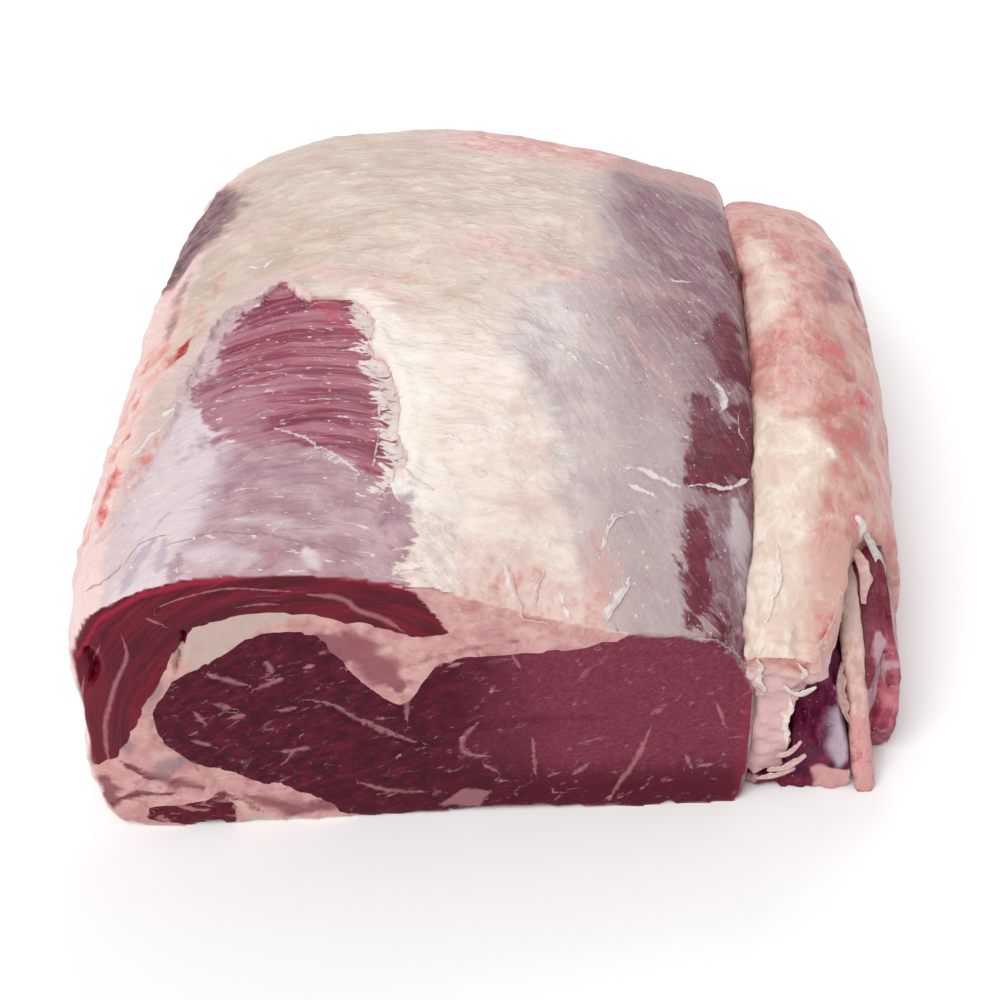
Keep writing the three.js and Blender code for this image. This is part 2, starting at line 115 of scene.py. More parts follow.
def keep_largest(piece):
    """Drops the scraps and sealed hollows that lie beside a piece's main surface."""
    bm = bmesh.new()
    bm.from_mesh(piece.data)
    seen = set()
    shells = []
    for start in bm.verts:
        if start in seen:
            continue
        shell = [start]
        seen.add(start)
        for v in shell:
            for edge in v.link_edges:
                other = edge.other_vert(v)
                if other not in seen:
                    seen.add(other)
                    shell.append(other)
        shells.append(shell)
    shells.sort(key=len)
    for shell in shells[:-1]:
        bmesh.ops.delete(bm, geom=shell, context="VERTS")
    bm.to_mesh(piece.data)
    bm.free()


def points_of(piece):
    """A piece's vertices in mm."""
    flat = np.empty(len(piece.data.vertices) * 3, np.float32)
    piece.data.vertices.foreach_get("co", flat)
    return flat.reshape(-1, 3) / MM


def move_points(piece, points):
    piece.data.vertices.foreach_set("co", (points * MM).astype(np.float32).ravel())
    piece.data.update()


def normals_of(piece):
    flat = np.empty(len(piece.data.vertices) * 3, np.float32)
    piece.data.vertex_normals.foreach_get("vector", flat)
    return flat.reshape(-1, 3).astype(float)


def smooth_piece(piece, rounds, share=None):
    """Smooths a piece, where a share from 0 to 1 for each vertex may hold its edges."""
    smooth = piece.modifiers.new("smooth", "SMOOTH")
    smooth.iterations = rounds
    smooth.factor = 0.5
    if share is not None:
        group = piece.vertex_groups.new(name="smooth")
        for level in range(1, 11):
            chosen = np.where(np.round(share * 10) == level)[0]
            group.add(chosen.tolist(), level / 10, "REPLACE")
        smooth.vertex_group = group.name
    settle(piece)
    piece.vertex_groups.clear()


def ramp(low, high, value):
    """0 below low, 1 above high and a smooth rise between them."""
    share = np.clip((value - low) / (high - low), 0, 1)
    return share * share * (3 - 2 * share)


HASH = (73856093, 19349663, 83492791, 1274126177)  # large primes that scramble a cell's place


def wobble(points, span, seed=0.0):
    """Smooth noise from -1 to 1 with swells of about span mm, the same on every run."""
    at = points / span + seed * 17.3
    cell = np.floor(at).astype(np.int64)
    share = at - cell
    share = share * share * (3 - 2 * share)
    total = np.zeros(len(points))
    for i in (0, 1):
        for j in (0, 1):
            for k in (0, 1):
                x, y, z = cell[:, 0] + i, cell[:, 1] + j, cell[:, 2] + k
                mixed = (x * HASH[0]) ^ (y * HASH[1]) ^ (z * HASH[2])
                mixed = ((mixed ^ (mixed >> 13)) * HASH[3]) & 0x7FFFFFFF
                weight = (
                    (share[:, 0] if i else 1 - share[:, 0])
                    * (share[:, 1] if j else 1 - share[:, 1])
                    * (share[:, 2] if k else 1 - share[:, 2])
                )
                total += weight * (mixed / 0x3FFFFFFF - 1)
    return total


def inside(flat_points, outline):
    """Signed distance in mm from a closed outline, above 0 inside it."""
    ring = np.array(outline, float)
    ahead = np.roll(ring, -1, axis=0)
    best = np.full(len(flat_points), 1e9)
    odd = np.zeros(len(flat_points), bool)
    x, y = flat_points[:, 0], flat_points[:, 1]
    for (ax, ay), (bx, by) in zip(ring, ahead):
        along = np.array([bx - ax, by - ay])
        share = ((x - ax) * along[0] + (y - ay) * along[1]) / (along @ along)
        share = np.clip(share, 0, 1)
        best = np.minimum(best, np.hypot(x - ax - share * along[0], y - ay - share * along[1]))
        crosses = (ay > y) != (by > y)
        odd ^= crosses & (x < (bx - ax) * (y - ay) / (by - ay if by != ay else 1) + ax)
    return np.where(odd, best, -best)


roll_mesh = bmesh.new()
for node in ROLL_NODES:
    add_node(roll_mesh, node, CLOSE_GAPS)
roll = new_piece("roll_skin", roll_mesh)
even_skin(roll, SKIN_CELL)
keep_largest(roll)

# The facets are smoothed away, but not the rims of the two cut faces or the torn edge of the window
at, out = points_of(roll), normals_of(roll)
facing = np.abs(out[:, 1])
on_rim = ramp(0.1, 0.35, facing) * (1 - ramp(0.85, 0.97, facing))
near_tear = (1 - ramp(1.5, 5, np.abs(inside(at[:, :2], WINDOW)))) * ramp(-72, -60, at[:, 0])
smooth_piece(roll, FIRST_ROUNDS, 1 - np.maximum(on_rim, near_tear))
smooth_piece(roll, LAST_ROUNDS)


class Skin:
    """Finds the nearest place on the roll's skin: how deep a point lies under it, and which way is out."""

    def __init__(self, piece):
        points, normals = points_of(piece), normals_of(piece)
        piece.data.calc_loop_triangles()
        corners = np.empty(len(piece.data.loop_triangles) * 3, np.int32)
        piece.data.loop_triangles.foreach_get("vertices", corners)
        self.corners = corners.reshape(-1, 3)
        self.points, self.normals = points, normals
        self.tree = BVHTree.FromPolygons(points.tolist(), self.corners.tolist())

    def find(self, places):
        depth = np.empty(len(places))
        outward = np.empty((len(places), 3))
        for i, place in enumerate(places):
            spot, flat, index, distance = self.tree.find_nearest(Vector(place))
            a, b, c = self.corners[index]
            weights = self.shares(np.array(spot), a, b, c)
            outward[i] = weights @ self.normals[[a, b, c]]
            side = (Vector(place) - spot).dot(flat)
            depth[i] = -distance if side > 0 else distance
        outward /= np.linalg.norm(outward, axis=1)[:, None]
        return depth, outward

    def shares(self, spot, a, b, c):
        """How near a spot on a triangle is to each corner."""
        pa, pb, pc = self.points[[a, b, c]]
        u, v, w = pb - pa, pc - pa, spot - pa
        uu, uv, vv, wu, wv = u @ u, u @ v, v @ v, w @ u, w @ v
        size = uu * vv - uv * uv
        if size < 1e-12:
            return np.array([1.0, 0.0, 0.0])
        s, t = (vv * wu - uv * wv) / size, (uu * wv - uv * wu) / size
        return np.array([1 - s - t, s, t])


skin = Skin(roll)


# The seams: the roll is cut along its natural seams into the eye, the cap, the corner muscle and the fat
# between and over them. Each seam follows its CAD node and wanders a little, as real seams do.
SEAM_CELL = 2.4 * MM
SEAM_STRETCH = 2.5  # cells are this much longer along the roll
SEAM_GROW = 0.6  # mm that a muscle is larger than its CAD node
CAP_GROW = 1.7
BREAK_THROUGH = 3.0  # a muscle that lies bare reaches this far past the skin, so that no film is left on it


def seam_tool(name, grow, wander):
    bm = bmesh.new()
    add_node(bm, name, grow)
    bmesh.ops.scale(bm, vec=(1, 1 / SEAM_STRETCH, 1), verts=bm.verts)
    tool = new_piece(name + "_seam", bm)
    even_skin(tool, SEAM_CELL)
    smooth_piece(tool, 3)
    keep_largest(tool)
    points = points_of(tool) * (1, SEAM_STRETCH, 1)
    depth, outward = skin.find(points)
    drift = np.stack([wobble(points, 9, seed) + 0.5 * wobble(points, 4, seed) for seed in (1, 2, 3)], axis=1)
    drift -= (drift * outward).sum(1)[:, None] * outward
    bare = 1 - ramp(0.5, 1.0, depth)
    move_points(tool, points + wander * drift + outward * (BREAK_THROUGH * bare)[:, None])
    return tool


def split(piece, tool, name):
    """Parts a piece along a tool: what lies inside it is the new piece, and the rest stays."""
    inner = piece.copy()
    inner.data = piece.data.copy()
    inner.name = name
    bpy.context.scene.collection.objects.link(inner)
    for part, operation in ((inner, "INTERSECT"), (piece, "DIFFERENCE")):
        cut = part.modifiers.new("cut", "BOOLEAN")
        cut.object = tool
        cut.operation = operation
        cut.solver = "MANIFOLD"
        settle(part)
        keep_largest(part)
    return inner


def drop(piece):
    bpy.data.meshes.remove(piece.data)


fat = roll
fat.name = "fat_over_the_roll"
seams = [seam_tool("eye_muscle", SEAM_GROW, 0.9), seam_tool("cap_muscle", CAP_GROW, 1.3)]
eye = split(fat, seams[0], "eye_of_the_rib")
cap = split(fat, seams[1], "cap_of_the_rib")
seams.append(seam_tool("corner_muscle", SEAM_GROW, 2.2))
corner = split(fat, seams[2], "corner_strip")
for tool in seams:
    drop(tool)


# The relief that the boning knife and the trimming left on the roll: soft swells, wrinkles in the fat, the
# torn crevices down the left flank and the slits in the cut face. It depends on the place alone, so that the
# pieces stay flush where they meet.
SWELLS = ((26, 0.8), (10, 0.35))  # span and height in mm
FLANK_LUMPS = ((13, 1.3), (6, 0.5))
WRINKLE_HEIGHT = 0.65
WRINKLES = (((0.4, 1, 0.7), 9, 0.6), ((0.6, 1, 1), 4, 0.4))  # stretch, span and share
TORN_LIP = 0.9  # mm that the torn edge of the window stands up, and the muscle beside it lies lower
PILLOW = ([(-118, -124, 86), (-116, -134, 87), (-114, -146, 86)], 6.5, 1.3)  # points, half width and height
FILM_STEP = 0.5  # mm that the membrane ends above the skin under it
FILM_ENDS = (
    [(-116, -143, 86), (-111, -142, 89), (-108, -136, 91), (-106, -129, 92), (-101, -127, 94),
     (-95, -128, 96)],
    [(-93, -133, 97), (-86, -132, 98), (-79, -130, 98), (-63, -129, 99), (-56, -131, 99), (-46, -133, 97),
     (-35, -135, 95)],
)
SHARP_FROM = 50  # degrees between faces from which an edge is shaded sharp
RELIEF_REACH = 6.0  # mm under the skin, where the relief has faded out
CREVICES = (  # points, half width and depth in mm
    ([(-118, -64, 88), (-121, -69, 86), (-124, -72, 82)], 2.2, 2.2),
    ([(-117, -85, 89), (-118, -94, 88), (-118, -103, 88), (-119, -113, 86)], 2.4, 2.6),
    ([(-109, -22, 92), (-113, -27, 90), (-117, -30, 88), (-119, -32, 86)], 2.6, 3.2),
    ([(-105, -125, 93), (-108, -133, 91), (-110, -141, 88), (-115, -144, 86)], 1.8, 1.6),
    ([(-88, 22, 99), (-92, 15, 98), (-95, 10, 97)], 1.2, 1.6),
    ([(-103, -40, 95), (-105, -52, 95), (-109, -62, 93)], 1.6, 0.9),
    ([(-86, 102, 91), (-84, 100, 92)], 1.6, 1.8),
    ([(-76, 98, 93), (-74, 96, 94)], 1.4, 1.2),
)
CUT_SLITS = (  # in the cut face, x and z
    ([(-88.5, 78), (-90.3, 70), (-92.1, 63)], 0.8, 2.4),
    ([(-116.5, 73), (-115.5, 66), (-116.8, 60)], 1.5, 4.0),
    ([(-86, 73), (-83.5, 70)], 0.6, 1.0),
    ([(-101, 45), (-99.6, 35), (-91, 26), (-87, 22.8), (-82.5, 14.6), (-78.3, 5.2)], 0.9, 1.3),
    ([(-54.8, 49.8), (-46.6, 47.7), (-43.2, 43), (-35, 38.6), (-27.6, 33.1), (-21, 30.4)], 1.0, 0.7),
    ([(-26.2, 51), (-24.9, 44.8), (-25.3, 40.8)], 1.0, 1.0),
    ([(-6, 36), (6, 39), (22, 38), (36, 37)], 1.4, 0.5),
)


def from_line(points, line, normals=None):
    """Distance from a line of points, the side that it lies on, and the share of the line's length there."""
    line = np.array(line, float)
    size = np.linalg.norm(np.diff(line, axis=0), axis=1)
    total = size.sum()
    best = np.full(len(points), 1e9)
    side = np.ones(len(points))
    share = np.zeros(len(points))
    start = 0.0
    for a, b, length in zip(line[:-1], line[1:], size):
        along = (b - a) / length
        reach = points - a
        run = np.clip(reach @ along, 0, length)
        off = reach - run[:, None] * along
        distance = np.linalg.norm(off, axis=1)
        nearer = distance < best
        best = np.where(nearer, distance, best)
        share = np.where(nearer, (start + run) / total, share)
        if normals is None:
            turned = along[0] * off[:, 1] - along[1] * off[:, 0]
        else:
            turned = (np.cross(normals, along) * off).sum(1)
        side = np.where(nearer, np.where(turned < 0, -1.0, 1.0), side)
        start += length
    return best, side, share


def groove(distance, share, half_width):
    """1 on a line and 0 beside it, thinner towards the line's ends."""
    width = half_width * (0.35 + 0.65 * ramp(0, 0.25, share) * (1 - ramp(0.75, 1, share)))
    return np.exp(-((distance / width) ** 2))


def faces(points, outward):
    """How far each point belongs to the front cut, the back cut, the top and the left flank."""
    front = ramp(0.75, 0.92, -outward[:, 1]) * ramp(118, 126, -points[:, 1])
    back = ramp(0.75, 0.92, outward[:, 1]) * ramp(118, 126, points[:, 1])
    top = ramp(0.25, 0.5, outward[:, 2]) * (1 - front) * (1 - back)
    flank = ramp(0.3, 0.75, -outward[:, 0]) * (1 - front) * (1 - back)
    return front, back, top, flank


def creases(points, stretch, span, seed):
    """Rounded lumps with narrow creases between them, from -1 to 1."""
    return 1 - 2 * np.abs(wobble(points * stretch, span, seed)) ** 0.8


def flank_lumps(points):
    """The height in mm of the lumps that hang on the left flank."""
    return sum(height * creases(points, (1, 0.7, 1), span, 60 + span) for span, height in FLANK_LUMPS)


def roll_relief(points, outward):
    front, back, top, flank = faces(points, outward)
    cut = np.maximum(front, back)
    lift = np.full(len(points), -CLOSE_GAPS)
    for number, (span, height) in enumerate(SWELLS):
        lift += height * (1 - 0.65 * cut) * wobble(points, span, number + 4)
    lift += flank * flank_lumps(points)
    over_film = ramp(10, 40, points[:, 0])
    folds = sum(share * creases(points, by, span, 7 + span) for by, span, share in WRINKLES)
    lift += WRINKLE_HEIGHT * top * (1 - 0.65 * over_film) * folds * (1 - cut)
    to_window = inside(points[:, :2], WINDOW) + 0.5 * wobble(points, 3, 11)
    torn = ramp(-64, -52, points[:, 0]) * top * ramp(-128, -110, points[:, 1])
    lift += TORN_LIP * torn * ramp(-7, -2, to_window) * (1 - ramp(-0.6, 0.6, to_window))
    lift -= TORN_LIP * torn * ramp(-0.6, 0.6, to_window) * (1 - ramp(2, 6, to_window))
    distance, _, share = from_line(points, PILLOW[0])
    lift += PILLOW[2] * groove(distance, share, PILLOW[1]) * (1 - cut)
    for line in FILM_ENDS:
        distance, side, share = from_line(points, line, outward)
        at_line = (1 - ramp(2, 5, distance)) * ramp(0, 0.05, share) * (1 - ramp(0.95, 1, share))
        lift += FILM_STEP * (ramp(-0.6, 0.6, distance * side) - 0.5) * at_line * (1 - cut)
    for line, half_width, depth in CREVICES:
        distance, _, share = from_line(points, line)
        distance = distance + 0.8 * wobble(points, 4, 9)
        lift -= depth * groove(distance, share, half_width) * (1 - cut)
    for line, half_width, depth in CUT_SLITS:
        distance, _, share = from_line(points[:, [0, 2]], line)
        lift -= depth * groove(distance + 0.3 * wobble(points, 3, 10), share, half_width) * front
    return lift


def in_box(points):
    """Keeps points inside the box of the CAD model."""
    return np.clip(points, np.array(cad_box[0]) / MM, np.array(cad_box[1]) / MM)


def carve(piece):
    """Gives a piece of the roll its relief, and returns its points and outward directions before that."""
    points = points_of(piece)
    depth, outward = skin.find(points)
    near = 1 - ramp(0.3 * RELIEF_REACH, RELIEF_REACH, depth)
    move_points(piece, in_box(points + outward * (roll_relief(points, outward) * near)[:, None]))
    piece.data.shade_smooth()
    piece.data.set_sharp_from_angle(angle=math.radians(SHARP_FROM))
    return points, outward


def paint(piece, name, *layers):
    """Stores up to four layers of values from 0 to 1 as one attribute of a piece."""
    values = np.zeros((len(piece.data.vertices), 4), np.float32)
    for channel, layer in enumerate(layers):
        values[:, channel] = layer
    piece.data.attributes.new(name, "FLOAT_COLOR", "POINT").data.foreach_set("color", values.ravel())


def store(piece, name, vectors):
    """Stores a vector for each point of a piece as an attribute."""
    layer = piece.data.attributes.new(name, "FLOAT_VECTOR", "POINT")
    layer.data.foreach_set("vector", vectors.astype(np.float32).ravel())


def rounded(line):
    """The same line with its corners cut off twice over, so that it bends softly."""
    line = np.array(line, float)
    for _ in range(2):
        first, second = line[:-1], line[1:]
        cuts = np.stack([0.75 * first + 0.25 * second, 0.25 * first + 0.75 * second], axis=1)
        line = np.vstack([line[:1], cuts.reshape(-1, line.shape[1]), line[-1:]])
    return line


def lay_lines(piece, name, points, lines, weight, normals=None):
    """Stores the signed distance from the nearest of several lines, where it shows, and its half width."""
    near = np.full(len(points), 1e9)
    stored = np.zeros((len(points), 3), np.float32)
    for line, half_width in lines:
        distance, side, share = from_line(points, rounded(line), normals)
        taper = 0.3 + 0.7 * ramp(0, 0.2, share) * (1 - ramp(0.8, 1, share))
        nearer = distance < near
        near = np.where(nearer, distance, near)
        made = np.stack([distance * side, 1 - ramp(1.5, 2.6, distance), half_width * taper], axis=1)
        stored = np.where(nearer[:, None], made, stored)
    stored[:, 1] *= weight
    store(piece, name, stored)


STUDIO = 0.88  # the studio light is brighter than plain white, so every colour is this much darker


def tone(red, green, blue):
    """A colour as it looks on a screen, 0 to 255, as the light it stands for, by the sRGB curve."""
    plain = [c / 3294.6 if c < 10.3 else ((c / 255 + 0.055) / 1.055) ** 2.4 for c in (red, green, blue)]
    return tuple(STUDIO * c for c in plain)


class Finish:
    """One material, put together node by node. Its places are in mm."""

    def __init__(self, name, roughness=0.4, gloss=0.5, through=0.15):
        self.material = bpy.data.materials.new(name)
        self.material.use_nodes = True
        self.tree = self.material.node_tree
        self.shader = self.tree.nodes["Principled BSDF"]
        self.shader.inputs["Roughness"].default_value = roughness
        self.shader.inputs["Specular IOR Level"].default_value = gloss
        self.shader.inputs["Subsurface Weight"].default_value = through
        self.shader.inputs["Subsurface Radius"].default_value = (1.0, 0.35, 0.25)
        self.shader.inputs["Subsurface Scale"].default_value = 2.5 * MM
        place = self.tree.nodes.new("ShaderNodeTexCoord").outputs["Object"]
        self.place = self.stretch(place, (1 / MM, 1 / MM, 1 / MM))

    def put(self, kind, values, out=0, **settings):
        node = self.tree.nodes.new(kind)
        for name, value in settings.items():
            setattr(node, name, value)
        for key, value in values.items():
            if isinstance(value, bpy.types.NodeSocket):
                self.tree.links.new(value, node.inputs[key])
            elif node.inputs[key].type == "RGBA":
                node.inputs[key].default_value = (*value, 1)
            else:
                node.inputs[key].default_value = value
        return node.outputs[out]

    def stretch(self, at, by):
        return self.put("ShaderNodeVectorMath", {0: at, 1: by}, operation="MULTIPLY")

    def turn(self, angle, axis="Z"):
        """The place turned about an axis, for a grain that runs askew."""
        turned = {"Vector": self.place, "Angle": angle}
        return self.put("ShaderNodeVectorRotate", turned, rotation_type=axis + "_AXIS")

    def math(self, operation, *values):
        return self.put("ShaderNodeMath", dict(enumerate(values)), operation=operation)

    def swing(self, value, by):
        """A noise around 0 instead of around 0.5, times a height."""
        return self.times(self.math("SUBTRACT", value, 0.5), by)

    def add(self, *values):
        total = values[0]
        for value in values[1:]:
            total = self.math("ADD", total, value)
        return total

    def times(self, *values):
        total = values[0]
        for value in values[1:]:
            total = self.math("MULTIPLY", total, value)
        return total

    def less(self, value):
        return self.math("SUBTRACT", 1.0, value)

    def grain(self, span, by=(1, 1, 1), detail=3.0, rough=0.55, bend=0.0, at=None):
        """Cloudy noise around 0.5 with patches of about span mm."""
        spot = self.stretch(at or self.place, tuple(b / span for b in by))
        return self.put(
            "ShaderNodeTexNoise",
            {"Vector": spot, "Scale": 1.0, "Detail": detail, "Roughness": rough, "Distortion": bend},
        )

    def veins(self, span, by, thin, bend=0.4, at=None):
        """Thin wandering lines, 1 on a line and 0 beside it."""
        cloud = self.grain(span, by, detail=2.5, bend=bend, at=at)
        return self.less(self.rise(self.math("ABSOLUTE", self.math("SUBTRACT", cloud, 0.5)), 0.0, thin))

    def painted_glints(self, low, high, span=1.5, by=(1, 0.6, 1)):
        """Small painted highlights, spots where the wet surface would throw back the light."""
        return self.rise(self.grain(span, by, detail=1.5), low, high)

    def rise(self, value, low, high, to=1.0):
        values = {0: value, 1: low, 2: high, 3: 0.0, 4: to}
        return self.put("ShaderNodeMapRange", values, interpolation_type="SMOOTHSTEP")

    def between(self, value, low, high):
        """Spreads a value from 0 to 1 over another span."""
        return self.put("ShaderNodeMapRange", {0: value, 3: low, 4: high})

    def mix(self, share, under, over):
        """One colour over another by a share. A colour is a socket, or red, green and blue to 255."""
        under, over = (c if isinstance(c, bpy.types.NodeSocket) else tone(*c) for c in (under, over))
        return self.put("ShaderNodeMix", {0: share, 6: under, 7: over}, out=2, data_type="RGBA")

    def coat(self, under, over, layer, low=0.3, high=0.7, most=1.0, fray=None, depth=0.6):
        """Lays a colour over another where a layer rises, with its edge frayed by noise."""
        if fray is not None:
            layer = self.add(layer, self.times(self.math("SUBTRACT", fray, 0.5), depth))
        return self.mix(self.rise(layer, low, high, most), under, over)

    def coats(self, under, *rows):
        """Lays colours over another: each row has a colour and a share, or a colour and what coat() takes."""
        for over, layer, *how in rows:
            under = self.coat(under, over, layer, *how) if how else self.mix(layer, under, over)
        return under

    def layers(self, name):
        """The four layers of an attribute that paint() stored."""
        node = self.tree.nodes.new("ShaderNodeAttribute")
        node.attribute_name = name
        parts = self.put("ShaderNodeSeparateColor", {0: node.outputs["Color"]}).node
        return (*parts.outputs, node.outputs["Alpha"])

    def vector(self, name):
        node = self.tree.nodes.new("ShaderNodeAttribute")
        node.attribute_name = name
        return node.outputs["Vector"]

    def line(self, name, fray, soft=0.35):
        """The lines that lay_lines() stored, 1 on a line and 0 beside it."""
        parts = self.put("ShaderNodeSeparateXYZ", {0: self.vector(name)}).node
        signed, shown, half = parts.outputs
        off = self.add(self.math("ABSOLUTE", signed), fray)
        inner = self.times(half, 1 - soft)
        outer = self.times(half, 1 + soft)
        on = self.less(self.put("ShaderNodeMapRange", {0: off, 1: inner, 2: outer}))
        return self.times(on, shown)

    def finish(self, colour, height=None, depth=0.3, roughness=None):
        self.tree.links.new(colour, self.shader.inputs["Base Color"])
        if height is not None:
            bump = self.put("ShaderNodeBump", {"Height": height, "Distance": depth * MM, "Strength": 1.0})
            self.tree.links.new(bump, self.shader.inputs["Normal"])
        if roughness is not None:
            self.tree.links.new(roughness, self.shader.inputs["Roughness"])
        return self.material


def hand_in(piece, slot, material, *nodes):
    piece.data.materials.clear()
    piece.data.materials.append(material)
    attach(piece, "root")
    if nodes:
        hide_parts(*nodes)


# The fat over and between the muscles. It is firm and cream on top, wrinkled where it was pulled, pink at
# the edges where blood has soaked in, and on the right a lilac-grey silverskin is stretched over fat and eye
# alike, with dark lean shining through. On the cut face the fat is smooth and pink-beige.
FILM_EDGE = [  # where the silverskin starts, in plan
    (40, 170), (34, 130), (26, 110), (22, 85), (27, 45), (20, 24), (4, 13), (-3, 2), (1, -24), (8, -47),
    (13, -74), (17, -91), (24, -108), (28, -122), (31, -150),
]
SHADE_EDGE = [(30, 170), (36, 110), (46, 60), (56, 20), (62, -20), (60, -80), (62, -120), (66, -160)]
BARE_LEAN = (  # outlines in plan where lean shows through the silverskin, and how dark
    ([(60, -34), (64, -29), (70, -37), (74, -50), (72, -60), (73, -73), (65, -76), (59, -73), (60, -50)],
     1.0),
    ([(72, -34), (79, -29), (81, -38), (82, -57), (78, -70), (74, -70), (75, -50)], 0.9),
    ([(58, -82), (63, -83), (66, -97), (65, -116), (61, -128), (58, -128), (57, -100)], 0.85),
    ([(72, 66), (76, 69), (81, 60), (82, 50), (76, 47)], 0.8),
    ([(68, 14), (75, 24), (80, 6), (80, -22), (70, -20), (66, 0)], 0.75),
    ([(66, -118), (72, -120), (76, -136), (70, -146), (60, -146)], 0.5),
)
# A dark patch of lean on the left flank, y and z, and two streaks
DARK_FLANK = [(112, 64), (84, 56), (52, 60), (38, 70), (44, 80), (62, 87), (84, 86), (104, 81), (120, 72)]
FLANK_STREAKS = (
    ([(-103, -29, 95), (-105, -50, 95), (-108, -62, 93)], 2.2, 0.6),
    ([(-118, -12, 84), (-120, 20, 84), (-119, 45, 86)], 4.0, 0.5),
)
PINK_FRONT = [(-24, -134), (-9, -117), (14, -113), (30, -122), (36, -142), (9, -148), (-15, -150)]
PINK_BANDS = (  # points, half width in mm, strength
    ([(-18, 44, 99), (15, 28, 94), (65, 27, 85)], 12, 0.6),
    ([(-100, -2, 96), (-77, 14, 99), (-50, 4, 101), (-34, -6, 101)], 9, 0.55),
    ([(36, 10, 90), (46, -14, 88), (58, -40, 84)], 7, 0.6),
    ([(30, -100, 82), (32, -122, 77), (30, -138, 70)], 9, 0.8),
)
STAINS = (  # blood in the surface
    ([(-109, -18, 92), (-113, -27, 90), (-119, -34, 86)], 3.4, 1.0),
    ([(-107, -4, 94), (-109, -22, 92)], 5.0, 0.5),
    ([(-121, -64, 86), (-122, -75, 85)], 2.6, 0.8),
    ([(-120, -83, 88), (-121, -98, 86), (-120, -112, 86)], 2.4, 0.85),
    ([(-108, -76, 94), (-110, -90, 93), (-109, -106, 92)], 6.5, 0.5),
    ([(-49, 13, 102), (-44, 10, 102), (-40, 10, 101), (-36, 11, 101), (-31, 7, 101)], 1.0, 0.62),
    ([(-84, 70, 94), (-82, 56, 96), (-78, 44, 98), (-75, 32, 99)], 1.5, 0.5),
    ([(-66, 37, 101), (-62, 34, 101), (-58, 36, 101)], 1.6, 0.55),
    ([(-62, 34, 101), (-60, 20, 101)], 1.2, 0.35),
    ([(-104, 30, 94), (-108, 5, 93), (-110, -12, 92)], 4.0, 0.5),
    ([(-118, -58, 86), (-121, -50, 84), (-120, -40, 85)], 2.2, 0.6),
    ([(-123, -100, 76), (-124, -85, 74), (-124, -120, 70)], 7.0, 0.4),
    ([(10, 140, 84), (36, 134, 82), (60, 122, 77)], 4.0, 0.4),
)
TANNED = (
    ([(-81, 17, 99), (-73, 17, 100)], 2.8, 1.0), ([(-52, -6, 101), (-44, -4, 101)], 2.2, 0.8),
    ([(6, 112, 90), (8, 96, 91), (11, 80, 92)], 5.0, 0.45),
    ([(2, -40, 98), (8, -75, 95), (10, -95, 92)], 9.0, 0.35),
    ([(-88, 22, 99), (-92, 15, 98), (-95, 10, 97)], 1.0, 1.0),
)
TEARS = (  # thin torn white edges and threads, with half widths in mm
    ([(43, -91, 81), (36, -93, 82), (33, -97, 82), (33, -102, 81), (31, -111, 80)], 0.9),
    ([(40, -117, 76), (38, -121, 75), (36, -126, 74), (33, -132, 73)], 1.1),
    ([(37, -74, 85), (43, -72, 84), (50, -75, 83), (57, -77, 82)], 1.2),
    ([(40, -80, 84), (48, -82, 83)], 0.7),
    ([(57, -77, 82), (64, -73, 81), (71, -74, 79), (79, -66, 77)], 0.8),
    ([(66, -20, 83), (70, -24, 82), (72, -31, 81), (70, -36, 81)], 1.6),
    ([(76, -34, 79), (75, -44, 79), (78, -50, 78)], 0.8),
    ([(8, -10, 97), (20, -20, 95), (34, -26, 91)], 0.8), ([(12, -16, 96), (24, -28, 93)], 0.6),
    ([(22, -44, 94), (28, -48, 93), (34, -48, 92)], 0.7), ([(52, 38, 86), (57, 36, 85), (62, 39, 84)], 0.8),
    ([(60, -122, 68), (62, -127, 66), (64, -131, 63)], 1.2), ([(70, -90, 78), (72, -104, 76)], 0.5),
    ([(-108, -72, 94), (-112, -76, 92), (-115, -84, 90)], 1.0), ([(-105, -60, 95), (-109, -66, 93)], 0.9),
    ([(3, -124, 86), (5, -131, 83), (8, -137, 79), (17, -139, 75)], 1.5),
    ([(14, -122, 83), (12, -128, 81), (12, -135, 77)], 1.0), ([(20, -128, 79), (24, -138, 74)], 0.7),
    ([(-96, 24, 96), (-90, 20, 98), (-86, 26, 98)], 0.8), ([(-70, 92, 95), (-58, 94, 96)], 0.7),
    ([(-24, -50, 99), (-18, -54, 98), (-14, -52, 98)], 0.6), ([(-20, -76, 98), (-12, -80, 97)], 0.6),
)
CRACK = [(84, 91, 74), (85, 59, 78), (87, 15, 81), (85, -13, 79), (83, -35, 78), (83, -75, 75), (83, -92, 73),
         (85, -113, 70), (80, -124, 66), (78, -131, 63)]
CUT_CREAM = [(-91, 68), (-90, 78), (-82, 86), (-56, 90), (-36, 87), (-40, 82), (-56, 82), (-66, 78),
             (-78, 70), (-86, 62)]
CUT_GREY = (
    [(-96, 78), (-91, 79), (-90, 73), (-95, 72)],
    [(-103, 53), (-100, 60), (-96, 61), (-96, 54), (-102, 47)],
    [(-113, 35), (-109, 39), (-106, 34), (-109, 29)],
    [(-104, 26), (-98, 29), (-91, 28), (-93, 23), (-101, 22)],
)
CUT_ROSE = (  # smears of lean in the cut fat, x and z, with half widths and strengths
    ([(-50, 74), (-38, 68), (-27, 54)], 6.5, 1.0), ([(-108, 24), (-98, 20), (-88, 16)], 3.0, 0.9),
    ([(-76, 12), (-62, 6), (-44, 6)], 4.0, 0.8), ([(-118, 20), (-118, 8)], 5.0, 1.0),
    ([(-24, 62), (-12, 66), (10, 70)], 1.6, 0.5), ([(-92, 50), (-96, 40), (-90, 30)], 2.5, 0.5),
)
